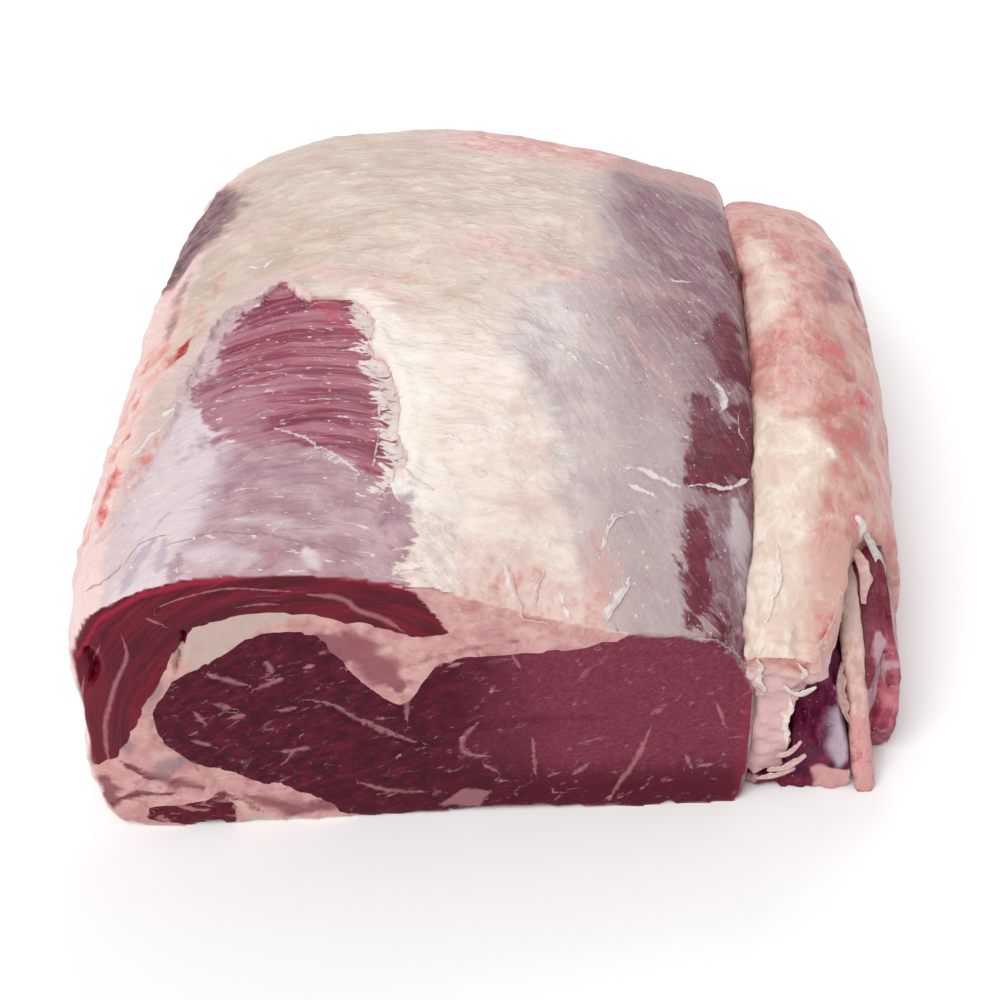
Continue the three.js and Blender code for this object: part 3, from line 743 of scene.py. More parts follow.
CUT_LEAN = (  # like CUT_ROSE, darker
    ([(-119, 76), (-122, 62), (-122, 48), (-119, 34)], 3.4, 1.0),
    ([(-122, 8), (-108, 15), (-96, 14)], 1.6, 0.9), ([(-86, 14), (-76, 10), (-70, 4)], 1.8, 0.9),
    ([(-112, 28), (-104, 21), (-94, 19)], 1.3, 0.8),
)
SKIN_BUMP = 1.5  # mm that the finest relief stands for
FIBRE_TURN = 1.1  # radians that the silverskin's fibres are turned from the roll's width


def stains(points, marks):
    """The strongest of several soft marks, each a line of points with a half width and a strength."""
    total = np.zeros(len(points))
    for line, half_width, strength in marks:
        distance, _, share = from_line(points[:, : len(line[0])], line)
        mark = groove(distance + 0.9 * wobble(points, 5, 12), share, half_width)
        total = np.maximum(total, strength * mark)
    return total


def patches(flat_points, outlines, soft=1.2):
    """The strongest of several closed outlines, each with a strength."""
    total = np.zeros(len(flat_points))
    for outline, strength in outlines:
        total = np.maximum(total, strength * ramp(-soft, soft, inside(flat_points, outline)))
    return total


def mark_skin(piece, points, outward):
    """Stores what the skin of the roll shows at each place, and returns how far a place is on a cut face."""
    x, y, z = points.T
    front, back, top, flank = faces(points, outward)
    cut = np.maximum(front, back)
    film_edge, shade_edge = (
        np.interp(-y, [-p[1] for p in edge], [p[0] for p in edge]) for edge in (FILM_EDGE, SHADE_EDGE)
    )
    film = ramp(-15, 15, x - film_edge + 5 * wobble(points, 14, 13)) * (1 - cut)
    upper = ramp(-70, 10, y)
    shade = (0.4 + 0.35 * upper) * ramp(12, 46, x)
    shade += (0.6 - 0.35 * upper) * ramp(-9, 9, x - shade_edge + 6 * wobble(points, 18, 14))
    band = stains(points, [([(74, -78, 78), (79, -100, 75), (81, -120, 69), (79, -134, 58)], 6.5, 1.0)])
    lean = patches(points[:, :2], BARE_LEAN, 7) * ramp(30, 50, x)
    left = ramp(0.2, 0.42, -outward[:, 0])
    lean = np.maximum(lean, patches(points[:, 1:], [(DARK_FLANK, 1)], 7) * left)
    lean = np.maximum(lean, stains(points, FLANK_STREAKS))
    pink = np.maximum(0.6 * patches(points[:, :2], [(PINK_FRONT, 1)], 12), 0.1 + 0.2 * flank)
    pink = np.maximum(pink, ramp(96, 140, y + 6 * wobble(points, 12, 15)) * ramp(-70, 0, x))
    pink = np.maximum(pink, stains(points, PINK_BANDS))
    raw = stains(points, STAINS)
    to_window = -inside(points[:, :2], WINDOW)
    torn = (1 - ramp(3, 17, to_window + 6.0 * wobble(points * (0.4, 1, 1), 5, 16))) * ramp(-64, -50, x) * top
    ragged = (1 - ramp(2, 12, to_window + 5.0 * wobble(points, 5, 17))) * ramp(-70, -84, x) * top
    flat = points[:, [0, 2]]
    warm = np.maximum(stains(points, TANNED), 0.9 * patches(flat, [(CUT_CREAM, 1)], 3) * front)
    grey = patches(flat, [(outline, 1) for outline in CUT_GREY], 4) * front
    by_tear = [([(-26, -106, 97), (-30, -117, 96), (-26, -130, 94)], 6, 0.85)]
    grey = np.maximum(grey, stains(points, by_tear) * top)
    # Tan along the crack, partly the torn fat's own colour and partly painted shade, and a painted shadow
    # line under each ledge where the membrane ends.
    brown_and_shade = stains(points, [(CRACK, 2.0, 1.0)] + [(line, 0.8, 0.8) for line in FILM_ENDS])
    raised = points * (1, 0, 0) + points[:, [2, 2, 2]] * (0, 1, 0)
    rose = stains(raised, CUT_ROSE) * front
    rim_lean = stains(raised, CUT_LEAN) * front
    # Orange-red in the creases between the flank's lumps: the colour that the creases show, with painted
    # shade in them.
    lumps = flank_lumps(points) + 0.5 * wobble(points * (1, 0.5, 1), 22, 19)
    hollow_shade = flank * (0.35 + 0.65 * ramp(52, 74, z)) * ramp(1.2, -1.0, lumps)
    paint(piece, "cover", film, lean, pink, raw)
    paint(piece, "cover_marks", torn, warm, cut, grey)
    paint(piece, "cover_film", shade, band, brown_and_shade, np.maximum(rose, ragged))
    # Paler cream towards the front on the right part of the top, and on the pillow of the left flank, where
    # the pale is partly a painted highlight.
    light = np.maximum(0.9 * ramp(20, -50, y) * ramp(-62, -34, x), stains(points, [(PILLOW[0], 9.0, 0.9)]))
    paint(piece, "cover_relief", hollow_shade, rim_lean, flank, light)
    lay_lines(piece, "tears", points, TEARS, 1 - cut, outward)
    return cut


def film_grain(fine):
    """The slanted place, the fibres and the fine threads of the silverskin."""
    askew = fine.turn(FIBRE_TURN)
    fibres = fine.grain(2.6, by=(0.2, 1.2, 0.8), detail=4, bend=0.5, at=askew)
    threads = fine.grain(1.0, by=(0.14, 1, 0.8), detail=3, bend=0.3, at=askew)
    return askew, fibres, threads


def film_tone(fine, askew, fibres, threads):
    """The colour of the silverskin, with the lean that shows through it."""
    _, lean_layer, pink_layer, _ = fine.layers("cover")
    shade_layer, band_layer, _, _ = fine.layers("cover_film")
    cloud = fine.grain(12, by=(0.6, 1, 1), detail=4, at=askew)
    web = fine.veins(9, (0.16, 1, 1), 0.03, at=askew)
    cross = fine.veins(14, (0.5, 1, 1), 0.012)
    film = fine.coats(
        (184, 166, 168),
        ((216, 203, 199), cloud, 0.3, 0.7),
        ((140, 104, 114), shade_layer, 0.02, 1.0, 0.97, cloud, 0.7),
        ((118, 62, 80), fine.times(shade_layer, fibres), 0.36, 0.64, 0.6),
        ((210, 196, 194), threads, 0.52, 0.76, 0.3),
        ((218, 204, 200), fine.times(web, 0.22)),
        ((224, 210, 204), fine.times(cross, 0.16)),
        ((212, 164, 156), pink_layer, 0.3, 1.0, 0.7, fibres, 1.4),
        ((198, 184, 190), band_layer, 0.2, 0.7, 0.9, fibres, 1.0),
    )
    lean = fine.coats(
        (88, 2, 34),
        ((118, 24, 54), fibres, 0.35, 0.7),
        ((168, 112, 130), threads, 0.6, 0.72, 0.4),
    )
    patchy = fine.grain(7, by=(0.4, 1, 1), detail=7, rough=0.7, bend=0.6, at=askew)
    return fine.coat(film, lean, lean_layer, 0.26, 0.54, 0.97, patchy, 2.0)


def skin_tone(fine):
    """The colour, the height and the roughness of the roll's skin: fat, silverskin, blood, tears and painted
    light.
    """
    film_layer, lean_layer, pink_layer, raw_layer = fine.layers("cover")
    torn_layer, warm_layer, cut_layer, grey_layer = fine.layers("cover_marks")
    _, _, brown_and_shade_layer, ragged_layer = fine.layers("cover_film")
    hollow_shade_layer, _, flank_layer, pale_and_highlight_layer = fine.layers("cover_relief")
    outer = fine.less(cut_layer)
    mottle = fine.grain(5, detail=5, rough=0.6)
    broad = fine.grain(17, detail=4)
    blush = fine.grain(31, by=(0.7, 1, 1), detail=5)
    fray = fine.grain(3, by=(1, 0.6, 1), detail=4)
    askew, fibres, threads = film_grain(fine)
    folds = fine.grain(9, by=(0.6, 1, 0.8), detail=3, rough=0.5, bend=0.8)
    flakes = fine.grain(4.0, by=(0.5, 1, 0.8), detail=3, rough=0.5, bend=0.8)
    lines = fine.veins(15, (0.3, 1, 0.8), 0.03, bend=0.4)
    vessels = fine.veins(26, (0.9, 1, 1), 0.012, bend=0.8)
    painted_glints = fine.painted_glints(0.69, 0.74)
    film = film_tone(fine, askew, fibres, threads)
    flank_lean = fine.times(lean_layer, fine.less(film_layer))
    dark_skin = fine.coat((84, 36, 52), (138, 88, 98), mottle, 0.4, 0.62)
    tear = fine.line("tears", fine.times(fine.math("SUBTRACT", fray, 0.5), 5.0))
    skin = fine.coats(
        (202, 182, 168),
        ((218, 201, 187), broad, 0.34, 0.66),
        # Paler cream, on the pillow partly a painted highlight.
        ((242, 230, 219), pale_and_highlight_layer, 0.1, 0.9, 0.85, broad, 0.7),
        ((222, 184, 177), blush, 0.5, 0.7, 0.6),
        # Lighter on the crests of the folds and darker in their creases, where the bump rises and falls:
        # painted highlight and painted shade.
        ((200, 172, 158), fine.less(folds), 0.5, 0.74, 0.35),
        ((240, 228, 214), folds, 0.5, 0.74, 0.45),
        ((244, 236, 226), flakes, 0.55, 0.72, 0.3),
        # Darker along the thin grooves that the bump cuts: painted shade.
        ((202, 172, 158), fine.times(lines, 0.12)),
        ((206, 138, 130), fine.times(vessels, mottle, 0.4)),
        ((226, 190, 183), pink_layer, 0.15, 0.8, 0.85, mottle, 1.1),
        ((210, 130, 124), pink_layer, 0.5, 1.05, 0.7, fray, 1.4),
        ((243, 234, 228), fine.times(pink_layer, flakes), 0.38, 0.6, 0.3),
        ((216, 196, 164), warm_layer, 0.25, 0.8, 0.7, mottle, 0.5),
        # The flank's own pink-cream, made lighter to make up for the shade that falls on this side: partly
        # painted light.
        ((250, 210, 208), flank_layer, 0.2, 0.8, 0.7, folds, 0.8),
        # The creases between the flank's lumps: orange-red, with painted shade.
        ((232, 172, 160), hollow_shade_layer, 0.0, 0.8, 0.75, folds, 0.8),
        ((216, 108, 94), hollow_shade_layer, 0.5, 1.05, 0.7, fray, 0.5),
        ((246, 232, 222), fine.times(flank_layer, flakes), 0.5, 0.68, 0.6),
        (film, film_layer, 0.25, 0.75, 0.97, broad, 1.6),
        (dark_skin, flank_lean, 0.15, 0.8, 0.92, mottle, 1.0),
        ((216, 190, 190), fine.times(ragged_layer, outer), 0.3, 0.7, 0.7, fray, 1.6),
        ((216, 104, 94), raw_layer, 0.2, 0.8, 0.75, fray, 1.7),
        ((164, 26, 34), raw_layer, 0.74, 1.0, 0.9, fray, 0.9),
        ((246, 236, 228), torn_layer, 0.2, 0.95, 0.75, flakes, 1.2),
        ((156, 128, 140), fine.times(grey_layer, outer), 0.3, 0.8, 0.7, mottle, 1.6),
        # The crack's tan with painted shade, and painted shadow lines under the membrane's ledges.
        ((146, 104, 82), brown_and_shade_layer, 0.35, 0.8, 0.8, fray, 0.8),
        ((240, 232, 226), fine.times(tear, 0.75)),
        # Painted highlights: small near-white glints on the wet fat and film.
        ((250, 246, 244), fine.times(painted_glints, 0.45)),
    )
    on_fat = fine.add(fine.swing(folds, 1.0), fine.swing(flakes, 0.5), fine.swing(fray, 0.08),
                      fine.times(lines, -0.06))
    height = fine.times(fine.less(fine.times(film_layer, 0.75)), on_fat)
    on_film = fine.add(fine.swing(fibres, 0.3), fine.swing(threads, 0.12))
    height = fine.add(height, fine.times(film_layer, on_film), fine.times(tear, 0.15))
    wet = fine.between(fine.add(film_layer, fine.times(mottle, 0.3)), 0.42, 0.28)
    return skin, height, wet


def cut_and_skin(fine, cut_layer, cut_tone, cut_height):
    """Puts the cut face's colour and height beside the skin's, and returns the material."""
    skin, height, wet = skin_tone(fine)
    height = fine.put("ShaderNodeMix", {0: cut_layer, 2: height, 3: cut_height})
    return fine.finish(fine.mix(cut_layer, skin, cut_tone), height, SKIN_BUMP, wet)


points, outward = carve(fat)
mark_skin(fat, points, outward)
fine = Finish("cover_fat", gloss=0.32, through=0.1)
_, warm_layer, cut_layer, grey_layer = fine.layers("cover_marks")
rose_layer = fine.layers("cover_film")[3]
rim_lean = fine.layers("cover_relief")[1]
mottle = fine.grain(6, detail=5, rough=0.6)
smears = fine.grain(7, by=(0.6, 1, 1), detail=5, rough=0.6, bend=1.5)
cracks = fine.veins(9, (1, 1, 1), 0.02, bend=1.0)
cut_tone = fine.coats(
    (194, 138, 138),
    ((214, 166, 160), mottle, 0.34, 0.66),
    ((176, 104, 110), smears, 0.54, 0.72, 0.5),
    ((226, 194, 186), fine.less(smears), 0.52, 0.7, 0.55),
    ((196, 172, 162), warm_layer, 0.1, 0.75, 0.95, mottle, 0.9),
    ((134, 62, 76), rose_layer, 0.15, 0.75, 0.85, smears, 1.1),
    ((140, 118, 124), grey_layer, 0.35, 0.8, 0.7, mottle, 1.6),
    ((104, 14, 36), rim_lean, 0.2, 0.8, 0.9, smears, 2.0),
    ((146, 92, 92), fine.times(cracks, 0.15)),
)
cut_height = fine.add(fine.swing(mottle, 0.4), fine.swing(smears, 0.3))
cover_fat = cut_and_skin(fine, cut_layer, cut_tone, cut_height)
hand_in(fat, "cover_fat", cover_fat, "fat_cover")


# The cap muscle. Its top lies bare in the window, magenta with curved fibres, and under a mauve veil of
# connective tissue towards the front. On the cut face it is a dark red band whose grain follows the curve,
# with a bright red rim along the top and thin white lines of fat.
VEIL_EDGE = [(-112, -44), (-100, -58), (-90, -80), (-78, -84), (-66, -78), (-50, -90), (-38, -100),
             (-25, -108)]
TENDONS = (  # lines of white tissue on the window, with half widths in mm
    ([(-72, -75, 98), (-64, -79, 98), (-57, -84, 98), (-48, -91, 98), (-41, -98, 97)], 0.55),
    ([(-57, -84, 98), (-57, -91, 98), (-60, -93, 98)], 0.4),
    ([(-53, -90, 98), (-50, -93, 98), (-46, -92, 97)], 0.6),
    ([(-88, -44, 95), (-76, -47, 97), (-64, -50, 98), (-58, -49, 98)], 0.8),
    ([(-84, -52, 96), (-74, -53, 97)], 0.7),
    ([(-64, -62, 98), (-56, -61, 98), (-50, -62, 98)], 0.6),
    ([(-40, -60, 98), (-38, -80, 98), (-39, -98, 97)], 0.25),
)
CAP_FAT_LINES = (  # on the cut face, x and z
    ([(-106, 77), (-105, 70), (-110, 60), (-113, 50), (-115, 44), (-116, 32), (-115, 25)], 0.6),
    ([(-95, 87.6), (-88, 91), (-75, 94), (-65, 92.4), (-54, 91)], 0.25),
    ([(-52, 90), (-42, 88.6), (-38.5, 83.4), (-30.6, 80), (-26, 75)], 0.75),
    ([(-99, 84), (-94, 81)], 0.35),
    ([(-72, 86.6), (-66, 87.4), (-60, 86.8)], 0.3), ([(-119, 62), (-121, 54), (-121, 46)], 0.3),
    ([(-113, 74), (-116, 67)], 0.3),
)
# Fat covers the cap beyond this outline on the cut, and right of and in front of this x and y on top
CAP_TIP = [(-34, 104), (-30, 93), (-21, 88.5), (-16.5, 81), (-12.5, 74), (-10, 66), (2, 66), (2, 104)]
HEM_EDGE = (-25, -104)
CALM_RINGS = 2  # rows of vertices along the cut's rim that carry no fine relief
BAND_CENTRE = (-48, 30)  # the cut face's grain runs round this point, x and z
WINDOW_CENTRE = (-52, -160)  # and the window's round this one, x and y
GRAIN_RADIUS = 60
GRAIN_STRETCH = 0.3  # of the grain along the roll
CAP_BUMP = 1.3  # mm
RIM_TOP = ([-120, -112, -100, -85, -54, -30, -10], [70, 84, 92, 96, 99, 93, 86])  # x and z of the red rim


def round_grain(first, second, centre):
    """Distance along and across a grain that runs in arcs round a centre."""
    a, b = first - centre[0], second - centre[1]
    return np.arctan2(a, b) * GRAIN_RADIUS, np.hypot(a, b)


points, outward = carve(cap)
x, y, z = points.T
front, back, top, flank = faces(points, outward)
cut = np.maximum(front, back)
along_cut, across_cut = round_grain(x, z, BAND_CENTRE)
along_top, across_top = round_grain(x, y, WINDOW_CENTRE)
on_cut = cut > 0.5
along, across = np.where(on_cut, along_cut, along_top), np.where(on_cut, across_cut, across_top)
store(cap, "grain", np.stack([along, across, GRAIN_STRETCH * y], axis=1))
edge_y = np.interp(x, [p[0] for p in VEIL_EDGE], [p[1] for p in VEIL_EDGE])
veil = ramp(-8, 10, edge_y - y + 5 * wobble(points, 9, 21)) * (1 - cut)
pale = 0.95 * ramp(-74, -96, x) * ramp(-48, -66, y)
pale = np.maximum(pale, stains(points, [([(-100, -124, 94), (-84, -125, 98), (-62, -124, 99),
                                          (-42, -127, 97)], 4, 0.45),
                                        ([(-88, -138, 98), (-78, -141, 99), (-68, -138, 99)], 8, 0.7),
                                        ([(-54, -134, 98), (-49, -142, 98)], 3, 0.8),
                                        ([(-98, -46, 94), (-94, -60, 95)], 5, 0.7)]))
bright = stains(points, [([(-68, 2, 98), (-60, -12, 99), (-54, -20, 99)], 5.5, 0.9),
                         ([(-60, -15, 99), (-50, -22, 99)], 4, 0.8)])
purple = stains(points, [([(-90, -79, 95), (-84, -98, 97), (-86, -116, 98)], 5, 0.4),
                         ([(-97, -72, 94), (-90, -88, 96)], 3, 0.7),
                         ([(-81, -101, 98), (-80, -114, 98)], 3, 0.6),
                         ([(-90, -139, 97), (-90, -149, 96)], 3.5, 0.9),
                         ([(-34, -112, 97), (-32, -124, 96)], 5, 0.7)])
lilac = stains(points, [([(-106, -148, 92), (-103, -136, 94), (-100, -129, 95)], 4, 1.0),
                        ([(-96, -130, 96), (-95, -146, 95)], 3, 1.0),
                        ([(-99, -90, 94), (-97, -80, 94)], 6, 0.5)])
red = stains(points, [([(-99, -143, 95), (-97, -132, 96)], 1.3, 1.0),
                      ([(-62, -134, 99), (-64, -142, 98)], 2, 0.7)])
bands = 1 - ramp(0.3, 1.9, np.abs(z - np.interp(x, *RIM_TOP)))
to_edge = inside(points[:, :2], WINDOW)
torn = (1 - ramp(0, 11, to_edge + 3 * wobble(points * (0.3, 1, 1), 4, 24))) * (1 - cut)
torn *= ramp(-62, -50, x) * ramp(-112, -100, y)
membrane = (1 - ramp(0, 9, to_edge + 4 * wobble(points, 6, 23))) * ramp(-80, -92, x) * (1 - cut)
paint(cap, "cap", veil, pale, bright, cut)
paint(cap, "cap_marks", purple, bands * front, ramp(-110, -115, x) * front, lilac)
haze = 0.8 * ramp(-66, -100, x + 0.35 * (y + 40)) + 0.15 * ramp(-30, -90, y)
edges = np.empty(len(cap.data.edges) * 2, np.int32)
cap.data.edges.foreach_get("vertices", edges)
ends = edges.reshape(-1, 2)
at_rim = ends[on_cut[ends[:, 0]] != on_cut[ends[:, 1]]]
calm = np.zeros(len(points))
calm[at_rim.ravel()] = 1
for _ in range(CALM_RINGS):
    calm[ends[(calm[ends] > 0).any(axis=1)].ravel()] = 1
hem = ramp(-3, 3, x - HEM_EDGE[0] + 5 * wobble(points, 7, 25)) * (1 - cut)
hem *= ramp(3, -3, y - HEM_EDGE[1] + 3 * wobble(points, 6, 26))
tip = patches(points[:, [0, 2]], [(CAP_TIP, 1)], 1.6) * front
paint(cap, "cap_more", red, torn, membrane, haze)
paint(cap, "cap_rim", calm, hem, tip, flank * (1 - cut))
lay_lines(cap, "tendons", points, TENDONS, top, outward)
lay_lines(cap, "film_ends", points, [(line, 0.5) for line in FILM_ENDS], top, outward)
lay_lines(cap, "fat_lines", points[:, [0, 2]], CAP_FAT_LINES, front)

lean = Finish("cap_meat", roughness=0.34, gloss=0.2, through=0.05)
veil_layer, pale_layer, bright_layer, cut_layer = lean.layers("cap")
purple_layer, rim_layer, outer_layer, lilac_layer = lean.layers("cap_marks")
red_layer, torn_layer, membrane_layer, haze_layer = lean.layers("cap_more")
rim_calm, hem_layer, tip_layer, flank_layer = lean.layers("cap_rim")
grain_at = lean.vector("grain")
strands = lean.grain(2.6, by=(0.14, 1, 1), detail=4, at=grain_at, bend=0.4)
threads = lean.grain(1.0, by=(0.12, 1, 1), detail=3, at=grain_at)
swathes = lean.grain(8, by=(0.3, 1, 1), detail=4, at=grain_at)
mottle = lean.grain(4, detail=5, rough=0.62)
cloud = lean.grain(10, detail=4)
feathers = lean.grain(2.2, by=(0.25, 1, 1), detail=3, bend=0.8)
fray = lean.math("SUBTRACT", lean.grain(2.2, detail=3), 0.5)
painted_glints = lean.painted_glints(0.68, 0.72, 1.7, (0.7, 1, 1))
meat = lean.coats(
    (136, 50, 74),
    ((180, 110, 126), strands, 0.36, 0.64),
    ((206, 164, 174), threads, 0.58, 0.7, 0.5),
    ((110, 24, 54), lean.less(swathes), 0.52, 0.66, 0.55),
    ((192, 142, 154), swathes, 0.54, 0.68, 0.45),
    ((186, 146, 158), haze_layer, 0.25, 1.0, 0.5, cloud, 2.4),
    ((196, 76, 90), bright_layer, 0.35, 1.0, 0.6, mottle, 2.2),
)
veil_tone = lean.coats(
    (172, 132, 142),
    ((194, 162, 168), cloud, 0.35, 0.65),
    ((152, 100, 118), strands, 0.5, 0.68, 0.4),
    ((228, 214, 216), pale_layer, 0.1, 0.95, 0.88, swathes, 1.0),
    ((188, 172, 186), lilac_layer, 0.25, 0.8, 0.75, mottle, 1.6),
)
meat = lean.coats(
    meat,
    (veil_tone, veil_layer, 0.35, 0.65, 1.0, swathes, 2.0),
    ((150, 104, 130), purple_layer, 0.3, 1.0, 0.6, mottle, 2.0),
    ((218, 196, 200), membrane_layer, 0.3, 0.75, 0.8, mottle, 2.6),
    ((206, 130, 136), red_layer, 0.3, 1.0, 0.55, mottle, 1.4),
    ((240, 231, 225), torn_layer, 0.45, 0.7, 0.85, feathers, 2.8),
)
fat_tone = lean.coat((224, 204, 194), (242, 230, 220), mottle, 0.35, 0.65)
meat = lean.coats(
    meat,
    (fat_tone, hem_layer, 0.3, 0.7, 0.95, feathers, 2.4),
    ((244, 212, 207), flank_layer, 0.2, 0.8, 0.85, mottle, 1.0),
)
cut_meat = lean.coats(
    (80, 0, 24),
    ((116, 8, 36), strands, 0.34, 0.68),
    ((148, 56, 74), threads, 0.62, 0.74, 0.35),
    ((112, 16, 38), outer_layer, 0.2, 0.8, 0.6),
    ((160, 24, 54), rim_layer, 0.25, 0.9, 0.8, mottle, 1.0),
)
fat_line = lean.line("fat_lines", lean.times(fray, 1.0), 0.8)
cut_meat = lean.mix(lean.times(fat_line, 0.6), cut_meat, (190, 124, 132))
cut_fat = lean.coat((200, 146, 144), (216, 170, 164), mottle, 0.35, 0.65)
cut_meat = lean.coat(cut_meat, cut_fat, tip_layer, 0.3, 0.7, 1.0, feathers, 1.2)
meat = lean.mix(cut_layer, meat, cut_meat)
tendon = lean.line("tendons", lean.times(fray, 3.0), 0.6)
meat = lean.mix(lean.times(tendon, 0.75), meat, (230, 214, 214))
# A painted shadow line under the ledge where each membrane ends.
ends = lean.line("film_ends", lean.times(fray, 2.0))
meat = lean.coats(
    meat,
    ((150, 118, 112), lean.times(ends, 0.6)),
    # Painted highlights on the bare muscle and the veil.
    ((244, 236, 236), lean.times(painted_glints, lean.less(cut_layer), 0.6)),
)
height = lean.add(lean.swing(strands, 0.7), lean.swing(threads, 0.35), lean.times(tendon, 0.25))
cap_meat = lean.finish(meat, lean.times(height, lean.less(rim_calm)), CAP_BUMP)
hand_in(cap, "cap_meat", cap_meat, "cap_muscle")


# The eye of the rib, the large round muscle: its cut face is dark wine red with fine white marbling, and
# lighter and greyer on the right, where a sheen is painted into its colour. Below, it lies bare where the
# ribs were taken off.
EYE_FAT_LINES = (  # x and z on the cut face, with half widths in mm
    ([(-54.8, 49.8), (-46.6, 47.7), (-43.2, 43), (-35, 38.6), (-27.6, 33.1), (-21, 30.4)], 0.5),
    ([(-83.3, 61.6), (-78.2, 59.3), (-72, 56.9)], 0.7),
    ([(-69.8, 54.8), (-65.2, 57), (-60.1, 59.5)], 0.6),
    ([(48.5, 31), (45, 19), (39, 9), (36.9, 3)], 0.6),
    ([(-4, 37.6), (-8.8, 32), (-8.9, 25.4), (-1.8, 23.8)], 0.6),
    ([(6.2, 64), (8.6, 59)], 0.4),
    ([(68.6, 39.5), (71.6, 30.7)], 0.4),
    ([(-40, 15), (-31, 10.7), (-21, 10)], 0.6),
    ([(12.5, 31), (13.2, 23), (13.6, 15)], 0.4),
    ([(-64, 29.7), (-58, 30), (-54, 31)], 0.6),
    ([(-48, 48), (-39.4, 40.4), (-29, 33)], 0.5),
    ([(-26.2, 51), (-24.9, 44.8), (-25.3, 40.8)], 0.7),
    ([(-90, 36), (-84, 33)], 0.6), ([(-82, 50), (-77, 48)], 0.7), ([(-78, 44), (-73, 45)], 0.6),
    ([(-88, 47), (-86, 43)], 0.7), ([(-63, 46), (-58, 47)], 0.5), ([(-66, 66), (-64, 61)], 0.7),
    ([(-2, 20), (2, 17)], 0.5), ([(25, 14), (30, 18)], 0.6), ([(60, 20), (62, 15)], 0.5),
)
DARK_SEAM = [(-22, 32), (-6, 36), (22, 38), (36, 37)]
PALE_PATCH = [(-16, 4), (-8, 11), (0, 9), (-4, 2)]
FLECK_SLANT = 0.5  # radians that the eye's fine grain rises to the right
SHOULDER = [(50, 71), (50, 84), (96, 84), (96, 38), (81, 40), (78.5, 46), (73, 57), (66, 63.5), (58, 67.5)]
points, outward = carve(eye)
x, y, z = points.T
flat = points[:, [0, 2]]
cut = mark_skin(eye, points, outward)
front = cut * (y < 0)
# Lighter and greyer towards the right of the cut face, less so near the bottom: a painted sheen.
painted_sheen = ramp(-22, 30, x + 6 * wobble(points, 16, 31)) * (1 - 0.7 * ramp(26, 8, z))
distance, _, share = from_line(flat, DARK_SEAM)
dark = np.maximum(0.45 * groove(distance, share, 2.8), 0.7 * ramp(26, 4, z + 5 * wobble(points, 12, 32)))
paint(eye, "eye", painted_sheen * cut, dark * cut, ramp(72, 79, x) * cut, ramp(0.1, 0.4, -outward[:, 2]) * (1 - cut))
paint(eye, "eye_more", patches(flat, [(SHOULDER, 1)], 1.6) * front,
      patches(flat, [(PALE_PATCH, 1)], 2) * front)
lay_lines(eye, "fat_lines", flat, EYE_FAT_LINES, cut)

wine = Finish("eye_meat", gloss=0.14, through=0.04)
painted_sheen_layer, dark_layer, rim_layer, under_layer = wine.layers("eye")
shoulder_layer, patch_layer = wine.layers("eye_more")[:2]
mottle = wine.grain(4.5, detail=5, rough=0.6)
cloud = wine.grain(13, detail=3)
fray = wine.math("SUBTRACT", wine.grain(2.0, detail=3), 0.5)
slant = wine.turn(FLECK_SLANT, "Y")
grit = wine.grain(1.0, by=(0.6, 1, 1), detail=5, rough=0.7, at=slant)
sheen_meat = wine.coat((114, 34, 56), (136, 60, 80), grit, 0.3, 0.7)
meat = wine.coats(
    (68, 0, 26),
    ((92, 8, 38), mottle, 0.34, 0.66),
    (sheen_meat, painted_sheen_layer, 0.0, 1.0, 0.92, cloud, 0.4),
    ((82, 4, 26), dark_layer, 0.1, 0.9, 0.75, mottle, 0.4),
    ((146, 44, 62), rim_layer, 0.2, 1.0, 0.4, mottle, 1.2),
)
flecks = wine.rise(wine.grain(5.0, by=(0.5, 1, 1.2), detail=5, rough=0.7, bend=0.9, at=slant), 0.585, 0.66)
ticks = wine.rise(wine.grain(2.2, by=(0.6, 1, 1.2), detail=4, rough=0.7, bend=0.4, at=slant), 0.61, 0.7)
marbling = wine.math("MAXIMUM", wine.times(flecks, 0.75), wine.times(ticks, 0.4))
marbling = wine.times(marbling, wine.less(wine.times(painted_sheen_layer, 0.4)), wine.rise(cloud, 0.34, 0.56))
meat = wine.mix(marbling, meat, (196, 144, 154))
fibre = wine.grain(2.2, by=(0.35, 1, 1.2), detail=4, at=slant)
plain = wine.less(wine.times(painted_sheen_layer, 0.7))
meat = wine.coats(
    meat,
    ((56, 0, 22), wine.times(plain, wine.less(fibre)), 0.48, 0.64, 0.6),
    ((124, 28, 54), wine.times(plain, fibre), 0.54, 0.7, 0.45),
    ((176, 120, 126), patch_layer, 0.3, 0.7, 0.7, mottle, 1.5),
)
fat_line = wine.line("fat_lines", wine.times(fray, 2.4), 0.9)
meat = wine.mix(wine.times(fat_line, 0.6), meat, (188, 130, 136))
askew, fibres, threads = film_grain(wine)
film = film_tone(wine, askew, fibres, threads)
meat = wine.coat(meat, film, shoulder_layer, 0.35, 0.65, 0.95, fibres, 0.7)
cut_height = wine.add(wine.swing(mottle, 0.35), wine.swing(grit, 0.2), wine.times(fat_line, 0.1))
sinew = wine.rise(wine.grain(7, by=(1, 0.25, 1), detail=5, bend=0.6), 0.42, 0.78)
under_tone = wine.mix(sinew, wine.mix(mottle, (104, 26, 46), (150, 74, 90)), (204, 160, 160))
meat = wine.mix(under_layer, meat, under_tone)
paint(eye, "cover_cut", np.maximum(cut, ramp(0.1, 0.4, -outward[:, 2])))
eye_meat = cut_and_skin(wine, wine.layers("cover_cut")[0], meat, cut_height)
hand_in(eye, "eye_meat", eye_meat, "eye_muscle")


